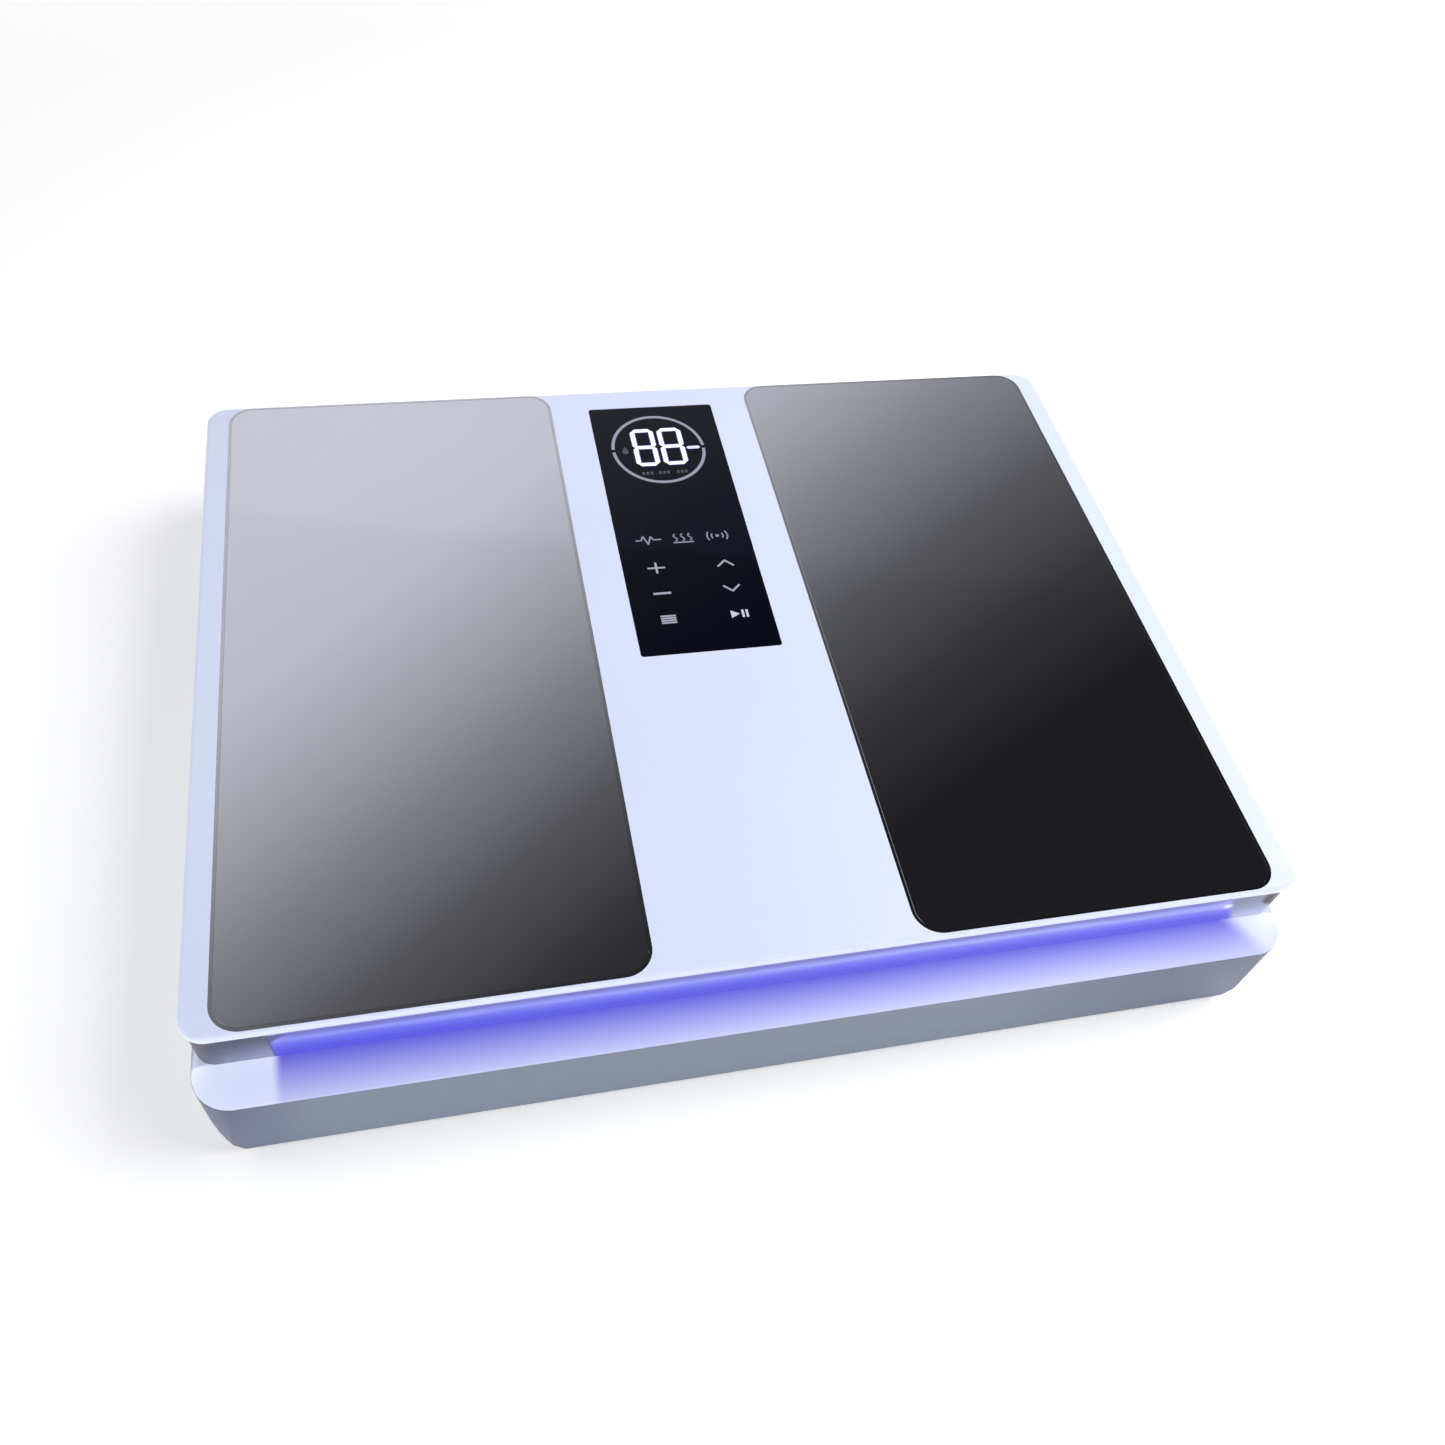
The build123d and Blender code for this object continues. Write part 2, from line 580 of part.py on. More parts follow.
def light_bar():
    """Long diffuser, flush with the mid frame's wall, flanged behind it and lipped over the rail."""
    low, high = BAR_Z
    front = -NECK[1]
    back = front + NECK_WALL
    bar = block(-BAR_HX, BAR_HX, front, back, low, high)
    bar += block(-BAR_HX, BAR_HX, front, front + BAR_LIP_T, LEDGE_IN_Z + 0.1, low + BITE)
    half = BAR_HX + BAR_FLANGE
    return bar + block(-half, half, back, back + BAR_FLANGE, low, high)


def led_strip_board():
    low, high = BAR_Z
    half = BAR_HX - STRIP_T
    return block(-half, half, STRIP_Y, STRIP_Y + STRIP_T, low - 0.1, high - 1.2)


def strip_leds():
    middle = sum(BAR_Z) / 2
    first = STRIP_END - BAR_HX
    pitch = -2 * first / (STRIP_LEDS - 1)
    length, thick, height = LED
    leds = []
    for i in range(STRIP_LEDS):
        x0 = first + i * pitch - length / 2
        z0 = middle - height / 2
        leds.append(block(x0, x0 + length, STRIP_Y - thick, STRIP_Y, z0, z0 + height))
    return group(leds)


# ---- boards in the base ----

def board(outline):
    half_x, half_y, x, y = outline
    plate = prism(half_x, half_y, 2.0, BOARD_Z, BOARD_Z + BOARD_T, x, y)
    for hole_x, hole_y in board_corners(outline):
        plate -= rod(hole_x, hole_y, BOARD_Z - CUT, BOARD_Z + BOARD_T + CUT, SCREW_R + SHANK_GAP)
    return plate


def on_board(half_x, half_y, height, x, y, radius=0.6):
    top = BOARD_Z + BOARD_T
    return prism(half_x, half_y, radius, top, top + height, x, y)


def control_chips():
    return group([on_board(*chip) for chip in CHIPS])


def connector(x, y, half_x):
    """Board header with a row of contact slots in its top."""
    top = BOARD_Z + BOARD_T + HEADER_T
    body = on_board(half_x, HEADER_HY, HEADER_T, x, y)
    length, width, depth = CONTACT_SLOT
    contacts = int(2 * half_x / CONTACT_PITCH)
    first = x - (contacts - 1) / 2 * CONTACT_PITCH
    for i in range(contacts):
        x0 = first + i * CONTACT_PITCH - length / 2
        body -= block(x0, x0 + length, y - width / 2, y + width / 2, top - depth, top + CUT)
    return body


def control_connectors():
    return group([connector(*header) for header in CONTROL_HEADERS])


def driver_connectors():
    return group([connector(*header) for header in DRIVER_HEADERS])


def buzzer():
    top = BOARD_Z + BOARD_T
    body = rod(*BUZZER_AT, top, top + BUZZER_H, BUZZER_R)
    return body - rod(*BUZZER_AT, top + BUZZER_H - 2, top + BUZZER_H + CUT, BUZZER_R / 5)


def heat_sink():
    """Finned block on the driver board's power stage."""
    x, y = HEAT_SINK_AT
    half_x, half_y, foot_h = HEAT_SINK
    sink = on_board(half_x, half_y, foot_h, x, y, 1.0)
    board_top = BOARD_Z + BOARD_T
    for i in range(FINS):
        x0 = x - FIN_SPAN / 2 + i * FIN_SPAN / (FINS - 1) - FIN_T / 2
        fin_z = (board_top + foot_h - BITE, board_top + FIN_TOP)
        sink += block(x0, x0 + FIN_T, y - half_y, y + half_y, *fin_z)
    return sink


def pulse_transformer():
    """Ferrite core, half buried in its winding."""
    x, y = TRANSFORMER_AT
    half_x, half_y, height = CORE
    window_hx, low, high = CORE_WINDOW
    board_top = BOARD_Z + BOARD_T
    core = on_board(half_x, half_y, height, x, y, 1.0)
    window_z = (board_top + low, board_top + high)
    return core - block(x - window_hx, x + window_hx, y - half_y - CUT, y + half_y + CUT, *window_z)


def transformer_winding():
    board_top = BOARD_Z + BOARD_T
    low, high = CORE_WINDOW[1:]
    return prism(*WINDING, board_top + low + FIT, board_top + high - FIT, *TRANSFORMER_AT)


def driver_capacitors():
    top = BOARD_Z + BOARD_T
    cans = []
    for x, y in CAPACITOR_AT:
        can = rod(x, y, top, top + CAPACITOR_H, CAPACITOR_R)
        cans.append(fillet(can.edges(), 0.8))
    return group(cans)


def pan_screw(x, y, seat_z, length, radius, head_r, up):
    """Pan-head screw with a cross slot; up is the way that its shank points from its seat."""
    shank_end = seat_z + up * length
    head_end = seat_z - up * HEAD_DEPTH * head_r
    screw = rod(x, y, min(seat_z, shank_end), max(seat_z, shank_end), radius)
    screw += rod(x, y, min(seat_z, head_end), max(seat_z, head_end), head_r)
    slot_z = (head_end - DRIVE, head_end + DRIVE)
    slot = block(x - head_r, x + head_r, y - DRIVE / 2, y + DRIVE / 2, *slot_z)
    cross = block(x - DRIVE / 2, x + DRIVE / 2, y - head_r, y + head_r, *slot_z)
    reach = rod(x, y, *slot_z, DRIVE_REACH * head_r)
    return screw - (reach & (slot + cross))


def m3_screw(x, y, seat_z, length, up):
    return pan_screw(x, y, seat_z, length, SCREW_R, SCREW_HEAD_R, up)


def case_screws():
    return group([m3_screw(x, y, SCREW_SEAT_Z, CASE_SCREW_L, 1) for x, y in post_places()])


def short_screws():
    """Identical screws for the two boards and the four feet."""
    seat = BOARD_Z + BOARD_T
    board_places = board_corners(CONTROL) + board_corners(DRIVER)
    screws = [m3_screw(x, y, seat, SHORT_SCREW_L, -1) for x, y in board_places]
    screws += [m3_screw(x, y, FOOT_SEAT_Z, SHORT_SCREW_L, 1) for x, y in foot_places()]
    return group(screws)


def small_screw(x, y, seat_z):
    return pan_screw(x, y, seat_z, TRAY_SCREW_L, TRAY_SCREW_R, TRAY_SCREW_HEAD_R, 1)


def small_screws():
    """Identical screws for the two heater trays and the display board."""
    tray_places = tray_screw_places(-1) + tray_screw_places(1)
    screws = [small_screw(x, y, COVER_Z - TRAY_T) for x, y in tray_places]
    screws += [small_screw(x, y, COVER_Z - BOARD_T) for x, y in panel_screw_places()]
    return group(screws)


def foot(x, y):
    """Rubber foot, sunk in the base, with a recess for its screw's head."""
    pad = rod(x, y, 0, BASE_Z + FOOT_SINK, FOOT_R)
    pad = fillet(at_height(pad, 0), FOOT_EDGE_R)
    pad -= rod(x, y, -CUT, FOOT_SEAT_Z, SCREW_HEAD_R + 0.6)
    return pad - rod(x, y, 0, BASE_Z + FOOT_SINK + CUT, SCREW_R + SHANK_GAP)


def rating_plate():
    return prism(*RATING, BASE_Z, BASE_Z + RATING_T, 0.0, RATING_Y)


# ---- rear bay: inlet and power switch ----

def switch_block(half, y0, y1, grow):
    """Block about the switch's centre line, from y0 to y1."""
    half_x, half_z = half
    x0 = SWITCH_X - half_x - grow
    x1 = SWITCH_X + half_x + grow
    return block(x0, x1, y0, y1, PORT_Z - half_z - grow, PORT_Z + half_z + grow)


def switch_housing():
    bezel_face = BAY_FLOOR_Y + BEZEL_T
    body = switch_block(SWITCH_BODY, SWITCH_BACK_Y, BAY_FLOOR_Y, 0.0)
    bezel = switch_block(SWITCH_BEZEL, BAY_FLOOR_Y, bezel_face, 0.0)
    body += fillet(bezel.faces().sort_by(Axis.Y)[-1].edges(), BEZEL_EDGE_R)
    body -= switch_block(SWITCH_CAVITY, SWITCH_BACK_Y + SWITCH_BACK_T, bezel_face + CUT, 0.0)
    reach = SWITCH_CAVITY[1] + PIN_BITE + 0.1
    return body - rod(SWITCH_X, SWITCH_PIVOT_Y, PORT_Z - reach, PORT_Z + reach, PIN_R + PIN_GAP)


def blade_pair(x, back_y, blade):
    """Two solder blades behind a port, either side of x."""
    offset, thick, length, height = blade
    z = (PORT_Z - height / 2, PORT_Z + height / 2)
    pair = []
    for middle in (x - offset, x + offset):
        pair.append(block(middle - thick / 2, middle + thick / 2, back_y - length, back_y, *z))
    return pair


def port_terminals():
    switch_blades = blade_pair(SWITCH_X, SWITCH_BACK_Y, SWITCH_BLADE)
    return group(switch_blades + blade_pair(INLET_X, BAY_FLOOR_Y - INLET_DEPTH, INLET_BLADE))


def switch_rocker():
    """Rocker with a dished face, leaning to its on side, on two short pins."""
    half_x = SWITCH_CAVITY[0] - 1.2
    half_z = SWITCH_CAVITY[1] - 0.3
    hub_hx, hub_front, hub_back = ROCKER_HUB
    side = [
        (-half_x, ROCKER_TIP),
        (-half_x, ROCKER_BACK),
        (-hub_hx, hub_front),
        (-hub_hx, -hub_back),
        (hub_hx, -hub_back),
        (hub_hx, hub_front),
        (half_x, ROCKER_BACK),
        (half_x, ROCKER_TIP),
    ]
    dish = ThreePointArc(side[-1], (0, ROCKER_DIP), side[0])
    rocker = extrude(Pos(0, 0, -half_z) * make_face([Polyline(*side), dish]), 2 * half_z)
    pin_reach = SWITCH_CAVITY[1] + PIN_BITE
    rocker += rod(0, 0, -pin_reach, pin_reach, PIN_R)
    return Pos(SWITCH_X, SWITCH_PIVOT_Y, PORT_Z) * Rot(0, 0, ROCKER_REST) * rocker


def dc_inlet():
    """Round low-voltage socket with a centre pin."""
    face = BAY_FLOOR_Y
    flange_r, flange_t = INLET_FLANGE
    body = rod_y(INLET_X, PORT_Z, face - INLET_DEPTH, face, INLET_R)
    flange = rod_y(INLET_X, PORT_Z, face, face + flange_t, flange_r)
    body += fillet(flange.faces().sort_by(Axis.Y)[-1].edges(), 0.4)
    floor_y = face - SOCKET_DEPTH
    body -= rod_y(INLET_X, PORT_Z, floor_y, face + flange_t + CUT, SOCKET_R)
    return body + rod_y(INLET_X, PORT_Z, floor_y - BITE, face - SOCKET_PIN_SET_BACK, SOCKET_PIN_R)


def inlet_nut():
    seat = BAY_FLOOR_Y - BAY_WALL
    outline = Plane.XZ.offset(-seat) * Pos(INLET_X, PORT_Z) * RegularPolygon(NUT_R, 6)
    return extrude(outline, NUT_T) - rod_y(INLET_X, PORT_Z, seat - NUT_T - CUT, seat + CUT, INLET_R + 0.05)


# ---- leads ----

def lead(points, radius=LEAD_R):
    """Round lead along straight runs joined by arcs as large as the runs allow."""
    radii = []
    for before, here, after in zip(points, points[1:], points[2:]):
        run_in = Vector(*here) - Vector(*before)
        run_out = Vector(*after) - Vector(*here)
        turn = math.radians(run_in.get_angle(run_out))
        shorter = min(run_in.length, run_out.length)
        radii.append(0.45 * shorter / math.tan(turn / 2))
    path = FilletPolyline(*points, radius=radii)
    return sweep((path ^ 0) * Circle(radius), path=path)


def display_ribbon():
    """Flat cable from the display board down to the control board."""
    top = (RIBBON_Y[0], COVER_Z - BOARD_T)
    bottom = (RIBBON_Y[1], BOARD_Z + BOARD_T + HEADER_T)
    line = FilletPolyline(top, (top[0], 46.0), (bottom[0], 40.0), bottom, radius=6.0)
    strip = trace(line, RIBBON_T)
    return extrude(Plane.YZ * Pos(0, 0, -RIBBON_W / 2) * strip, RIBBON_W)


def port_leads():
    """Leads from the switch, the inlet and the light bar, and the link between the boards."""
    head = BOARD_Z + BOARD_T + HEADER_T
    switch_x = SWITCH_X + SWITCH_BLADE[0]
    switch_back = SWITCH_BACK_Y - SWITCH_BLADE[2]
    inlet_x = INLET_X - INLET_BLADE[0]
    inlet_back = BAY_FLOOR_Y - INLET_DEPTH - INLET_BLADE[2]
    strip_back = STRIP_Y + STRIP_T
    routes = {}
    routes["switch_lead"] = [
        (switch_x, switch_back, PORT_Z),
        (switch_x, switch_back - 6, PORT_Z),
        (30, switch_back - 11, PORT_Z + 9),
        (34, 126, PORT_Z + 10),
        (34, 124, head + 6),
        (34, 124, head),
    ]
    routes["inlet_lead"] = [
        (inlet_x, inlet_back, PORT_Z),
        (inlet_x, inlet_back - 6, PORT_Z),
        (-30, inlet_back - 14, PORT_Z + 9),
        (-34, 127, PORT_Z + 10),
        (-34, 124, head + 6),
        (-34, 124, head),
    ]
    routes["board_link"] = [
        (0, 30, head),
        (0, 30, head + 8),
        (2, 18, head + 13),
        (-2, -24, head + 13),
        (0, -38, head + 8),
        (0, -38, head),
    ]
    routes["led_lead"] = [
        (-30, strip_back, 59),
        (-30, strip_back + 7, 59),
        (-32, -138, 50),
        (-32, -126, 32),
        (-30, -108, head + 9),
        (-30, -106, head + 5),
        (-30, -106, head),
    ]
    return routes


def plate_leads(side):
    """Coil lead and heater lead of one foot plate, both down to its header."""
    head = BOARD_Z + BOARD_T + HEADER_T
    x = side * PLATE_X
    coil_x = x - side * COIL_LEAD_X
    coil_route = [
        (coil_x, 3, COIL_Z[0]),
        (coil_x, 3, 50),
        (side * 70, 14, 42),
        (side * 61, 30, 34),
        (side * 58.5, 40, head + 6),
        (side * 58.5, 40, head),
    ]
    heater_route = [
        (x - BLADE_X, 0, PLATE_FLOOR_Z - BLADE_END),
        (x - BLADE_X, 0, 50),
        (x - side * 14, 4, 41),
        (side * 86, 22, 38),
        (side * 67, 36, 31),
        (side * 65.5, 40, head + 5),
        (side * 65.5, 40, head),
    ]
    return group([lead(coil_route), lead(heater_route)])


# ---- build ----

def main():
    os.makedirs("parts", exist_ok=True)
    save(base_tray(), "base_tray")
    save(mid_frame(), "mid_frame")
    save(top_cover(), "top_cover")
    for side in (-1, 1):
        name = side_name(side)
        save(foot_plate(side), f"foot_plate_{name}")
        save(plate_gasket(side), f"plate_gasket_{name}")
        save(heater_film(side), f"heater_film_{name}")
        save(insulation_pad(side), f"insulation_pad_{name}")
        save(pulse_coil(side), f"pulse_coil_{name}")
        save(thermal_cutout(side), f"thermal_cutout_{name}")
        save(heater_tray(side), f"heater_tray_{name}")
    save(display_lens(), "display_lens")
    save(lens_tape(), "lens_tape")
    save(display_board(), "display_board")
    save(digit_module(), "digit_module")
    save(ring_light_guide(), "ring_light_guide")
    save(light_shield(), "light_shield")
    save(group([touch_pad(x, y) for x in KEY_X for y in KEY_Y]), "touch_pads")
    save(group([mode_light(x) for x in MODE_X]), "mode_lights")
    save(light_bar(), "light_bar")
    save(led_strip_board(), "led_strip_board")
    save(strip_leds(), "strip_leds")
    save(board(CONTROL), "control_board")
    save(control_chips(), "control_chips")
    save(control_connectors(), "control_connectors")
    save(buzzer(), "buzzer")
    save(board(DRIVER), "driver_board")
    save(driver_connectors(), "driver_connectors")
    save(heat_sink(), "heat_sink")
    save(pulse_transformer(), "pulse_transformer")
    save(transformer_winding(), "transformer_winding")
    save(driver_capacitors(), "driver_capacitors")
    save(case_screws(), "case_screws")
    save(short_screws(), "short_screws")
    save(small_screws(), "small_screws")
    for x, y in foot_places():
        end = "front" if y < 0 else "rear"
        save(foot(x, y), f"foot_{end}_{side_name(x)}")
    save(rating_plate(), "rating_plate")
    save(switch_housing(), "switch_housing")
    save(port_terminals(), "port_terminals")
    save(switch_rocker(), "switch_rocker")
    save(dc_inlet(), "dc_inlet")
    save(inlet_nut(), "inlet_nut")
    save(display_ribbon(), "display_ribbon")
    for name, points in port_leads().items():
        save(lead(points), name)
    for side in (-1, 1):
        save(plate_leads(side), f"plate_leads_{side_name(side)}")


main()
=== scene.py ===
import json
import math

import bmesh
import bpy
from mathutils import Matrix, Vector


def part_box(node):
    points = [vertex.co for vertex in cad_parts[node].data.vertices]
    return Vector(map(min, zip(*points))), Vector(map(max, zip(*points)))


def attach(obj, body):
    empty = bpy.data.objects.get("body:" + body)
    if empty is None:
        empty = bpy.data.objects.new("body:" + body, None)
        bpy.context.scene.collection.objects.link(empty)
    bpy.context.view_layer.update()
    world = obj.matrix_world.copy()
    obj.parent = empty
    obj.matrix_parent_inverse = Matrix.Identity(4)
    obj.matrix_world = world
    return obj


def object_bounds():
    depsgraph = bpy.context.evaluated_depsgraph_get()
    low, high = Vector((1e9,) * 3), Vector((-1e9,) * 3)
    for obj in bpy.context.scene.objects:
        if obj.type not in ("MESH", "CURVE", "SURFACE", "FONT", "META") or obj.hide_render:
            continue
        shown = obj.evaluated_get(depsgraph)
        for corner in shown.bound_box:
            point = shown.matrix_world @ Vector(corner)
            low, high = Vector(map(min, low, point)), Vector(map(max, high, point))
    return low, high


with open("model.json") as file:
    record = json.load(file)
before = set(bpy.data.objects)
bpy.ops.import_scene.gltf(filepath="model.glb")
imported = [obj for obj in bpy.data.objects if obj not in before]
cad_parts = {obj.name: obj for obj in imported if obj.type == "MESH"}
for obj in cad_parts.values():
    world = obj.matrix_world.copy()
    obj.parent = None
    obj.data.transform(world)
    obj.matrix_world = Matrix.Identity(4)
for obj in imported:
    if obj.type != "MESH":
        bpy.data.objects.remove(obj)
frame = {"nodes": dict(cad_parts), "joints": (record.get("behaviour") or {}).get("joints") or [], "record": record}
cad_low, cad_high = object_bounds()
TOP = cad_high.z
LEFT_END = cad_low.x

NODES = frame["nodes"]
MM = 0.001
NOISE_RANGE = (0.3, 0.7)                      # where most of a noise texture's values fall
COAT_ROUGHNESS = 0.08
RELIEF_DEPTH = 0.0002                         # how deep a finish's bump reads, in metres


# ---- material building blocks ----

def new_material(name):
    """A node material, with its tree and its Principled shader."""
    material = bpy.data.materials.new(name)
    material.use_nodes = True
    return material, material.node_tree, material.node_tree.nodes["Principled BSDF"]


def object_coords(tree, stretch=(1, 1, 1)):
    """Object coordinates, which are the frame's own metres, optionally stretched."""
    place = tree.nodes.new("ShaderNodeTexCoord").outputs["Object"]
    if stretch == (1, 1, 1):
        return place
    mapping = tree.nodes.new("ShaderNodeMapping")
    mapping.inputs["Scale"].default_value = stretch
    tree.links.new(place, mapping.inputs["Vector"])
    return mapping.outputs["Vector"]


def noise(tree, coords, size, detail=3.0):
    """Noise with features about a size, in metres."""
    node = tree.nodes.new("ShaderNodeTexNoise")
    node.inputs["Scale"].default_value = 1 / size
    node.inputs["Detail"].default_value = detail
    tree.links.new(coords, node.inputs["Vector"])
    return node.outputs["Fac"]


def ramp(tree, value, low, high, out_low=0.0, out_high=1.0, smooth=False):
    """A value stretched from one range to another, and held inside it."""
    node = tree.nodes.new("ShaderNodeMapRange")
    node.interpolation_type = "SMOOTHSTEP" if smooth else "LINEAR"
    numbers = {"From Min": low, "From Max": high, "To Min": out_low, "To Max": out_high}
    for name, number in numbers.items():
        node.inputs[name].default_value = number
    tree.links.new(value, node.inputs["Value"])
    return node.outputs["Result"]


def mix(tree, factor, first, second):
    """Colour mix; each colour is a constant or an output."""
    node = tree.nodes.new("ShaderNodeMix")
    node.data_type = "RGBA"
    node.clamp_factor = True
    tree.links.new(factor, node.inputs["Factor"])
    for socket, colour in ((node.inputs[6], first), (node.inputs[7], second)):
        if isinstance(colour, bpy.types.NodeSocket):
            tree.links.new(colour, socket)
        else:
            socket.default_value = (*colour[:3], 1)
    return node.outputs[2]


def maths(tree, operation, *values):
    """A Math node on outputs and constants."""
    node = tree.nodes.new("ShaderNodeMath")
    node.operation = operation
    for socket, value in zip(node.inputs, values):
        if isinstance(value, bpy.types.NodeSocket):
            tree.links.new(value, socket)
        else:
            socket.default_value = value
    return node.outputs[0]


def times(tree, first, *others):
    """The product of outputs and constants."""
    for other in others:
        first = maths(tree, "MULTIPLY", first, other)
    return first


def mix_by(tree, colour, factor):
    """A colour multiplied by another."""
    node = tree.nodes.new("ShaderNodeVectorMath")
    node.operation = "MULTIPLY"
    tree.links.new(colour, node.inputs[0])
    node.inputs[1].default_value = factor
    return node.outputs[0]


def tones(tree, value, stops):
    """A value turned to colour through stops, each a value and a colour, in rising order."""
    low = stops[0][0]
    high = stops[-1][0]
    node = tree.nodes.new("ShaderNodeValToRGB")
    points = node.color_ramp.elements
    places = [(place - low) / (high - low) for place, colour in stops]
    for place in places[1:-1]:
        points.new(place)
    for point, place, (_, colour) in zip(points, places, stops):
        point.position = place
        point.color = (*colour, 1)
    tree.links.new(ramp(tree, value, low, high), node.inputs[0])
    return node.outputs[0]


def axes(tree, coords):
    """The X, Y and Z of a vector."""
    node = tree.nodes.new("ShaderNodeSeparateXYZ")
    tree.links.new(coords, node.inputs[0])
    return node.outputs


def shade(colour, amount):
    """A colour made lighter or darker, and held under 1."""
    return tuple(min(1.0, c * amount) for c in colour[:3])


def finish(name, colour, roughness, metallic=0.0, vary=0.05, patch=0.03, grain=0.0007, bump=0.08,
           spread=0.08, stretch=(1, 1, 1), coat=0.0):
    """A finish with slow colour variation, and fine grain in its gloss and its surface.

    vary is how far the colour strays, over patches of that size; grain is the size of the fine texture,
    bump its strength, and spread how far it moves the roughness.
    """
    material, tree, shader = new_material(name)
    coords = object_coords(tree)
    slow = noise(tree, coords, patch)
    fine = noise(tree, object_coords(tree, stretch), grain, 4.0)
    tone = mix(tree, ramp(tree, slow, *NOISE_RANGE), shade(colour, 1 - vary), shade(colour, 1 + vary))
    tree.links.new(tone, shader.inputs["Base Color"])
    gloss = ramp(tree, fine, *NOISE_RANGE, roughness - spread / 2, roughness + spread / 2)
    tree.links.new(gloss, shader.inputs["Roughness"])
    shader.inputs["Metallic"].default_value = metallic
    shader.inputs["Coat Weight"].default_value = coat
    shader.inputs["Coat Roughness"].default_value = COAT_ROUGHNESS
    relief = tree.nodes.new("ShaderNodeBump")
    relief.inputs["Strength"].default_value = bump
    relief.inputs["Distance"].default_value = RELIEF_DEPTH
    tree.links.new(fine, relief.inputs["Height"])
    tree.links.new(relief.outputs["Normal"], shader.inputs["Normal"])
    return material, tree, shader, tone


# ---- the finishes that show ----

WHITE = (0.69, 0.735, 0.95)
WALL_BLUE = (0.115, 0.14, 0.205)              # the front wall's middle, blue-grey darkened with painted shade
WALL_SHADE = (0.036, 0.050, 0.128)            # its left end, with deeper painted shade
WALL_RIGHT_SHADE = (0.027, 0.048, 0.112)            # its right end, with deeper painted shade
WALL_AROUND_LIGHTENED = (0.20, 0.235, 0.33)             # the side and rear walls, painted lighter where less light reaches them
VIOLET = (0.215, 0.21, 0.86)                  # the bar's glow on the ledge
LEDGE_LIGHT = (0.27, 0.28, 0.33)              # painted light: what the groove throws back on the ledge past the bar, as the ledge's own glow
CORNER_SHADE = (0.03, 0.032, 0.06)            # painted shade in the groove's left front corner
RIGHT_SHADE = (0.0, 0.0, 0.02)                # painted shadow in the groove's right front corner, at its top
PAINTED_BAR_LIGHT = (0.42, 0.41, 0.66)                   # the bar's light painted on the groove beside its left end
LIP_BAR_LIGHT = (0.22, 0.225, 0.52)              # the bar's light painted on the rim's underside over the bar, dimmed by painted shade
FRAME_GREY = (0.134, 0.142, 0.235)
UNLIT = (0.03, 0.03, 0.06)                    # what a lit surface is under its own light
BLACK = (0, 0, 0)
GROOVE_SHADE_LEFT = (                                # the groove's painted shade at its left, from its top, 0, down to the ledge, 1
    (0.0, (0.047, 0.050, 0.084)),
    (0.2, (0.055, 0.059, 0.098)),
    (0.5, (0.107, 0.114, 0.188)),
    (0.8, (0.193, 0.206, 0.326)),
    (1.0, (0.250, 0.267, 0.400)),
)
# the groove's painted shade at its right, lighter with painted light
GROOVE_SHADE_RIGHT = (
    (0.0, (0.190, 0.203, 0.270)),
    (0.2, (0.216, 0.231, 0.340)),
    (0.5, (0.301, 0.320, 0.460)),
    (0.8, (0.470, 0.493, 0.694)),
    (1.0, (0.560, 0.582, 0.806)),
)

BAR_LOW, BAR_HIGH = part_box("light_bar")       # its flange is inside this box too
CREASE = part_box("mid_frame")[0].y             # where the ledge meets the mid frame
LEDGE_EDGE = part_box("base_tray")[0].y
GROOVE_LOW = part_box("mid_frame")[0].z
GROOVE_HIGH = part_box("mid_frame")[1].z
RIM_DEPTH = 3.2 * MM                          # from the deck down to the underside of its rim

# Each pair is where a painted tone, most of them painted light or shade, begins and ends along its axis, in
# metres, and MOST its strongest.
SPAN_LEFT = (BAR_LOW.x, BAR_LOW.x + 3 * MM)
SPAN_RIGHT = (BAR_HIGH.x - 4 * MM, BAR_HIGH.x + 1 * MM)
GROOVE_FRONT = (CREASE + 2 * MM, CREASE + 9 * MM)
LEFT_CORNER = (BAR_LOW.x - 20.5 * MM, BAR_LOW.x - 13.5 * MM)
LEFT_CORNER_MOST = 0.75
BAR_LIGHT_BESIDE = (BAR_LOW.x - 13 * MM, BAR_LOW.x + 2 * MM)
BAR_LIGHT_BESIDE_MOST = 0.35
RIGHT_CORNER_X = BAR_HIGH.x + 12 * MM         # where the painted shadow in the top right corner begins
RIGHT_CORNER_FRONT = (CREASE + 1.2 * MM, CREASE + 3 * MM)
RIM_FRONT = (CREASE + 0.2 * MM, CREASE + 1 * MM)
UNDER_RIM = (TOP - RIM_DEPTH - 0.1 * MM, TOP - RIM_DEPTH)
# where the wall's painted shade changes: its left and right ends, its foot, and round to the sides
WALL_LEFT_END = (LEFT_END + 8 * MM, LEFT_END + 45 * MM)
WALL_RIGHT_END = (60 * MM, 190 * MM)
WALL_FOOT = (10 * MM, 40 * MM)
WALL_ROUND = (LEDGE_EDGE + 8 * MM, CREASE + 5 * MM)
# painted shade on the ledge's right end
LEDGE_RIGHT = (120 * MM, 195 * MM)
LEDGE_RIGHT_SHADE = 0.84
GLOW_LEFT = (BAR_LOW.x, BAR_LOW.x + 4 * MM)
GLOW_RIGHT = (BAR_HIGH.x - 1.5 * MM, BAR_HIGH.x + 9.5 * MM)
GLOW_LEAN = 0.8                               # how far its right end moves out for each step forward
GLOW_FRONT = (CREASE, CREASE + 1 * MM)
FACES_UP = (0.35, 0.75)                       # Z of the normal, from the wall to the ledge


def bar_span(tree, x):
    """1 over the light bar's length and 0 past its ends."""
    return times(tree, ramp(tree, x, *SPAN_LEFT), ramp(tree, x, *SPAN_RIGHT, 1.0, 0.0))


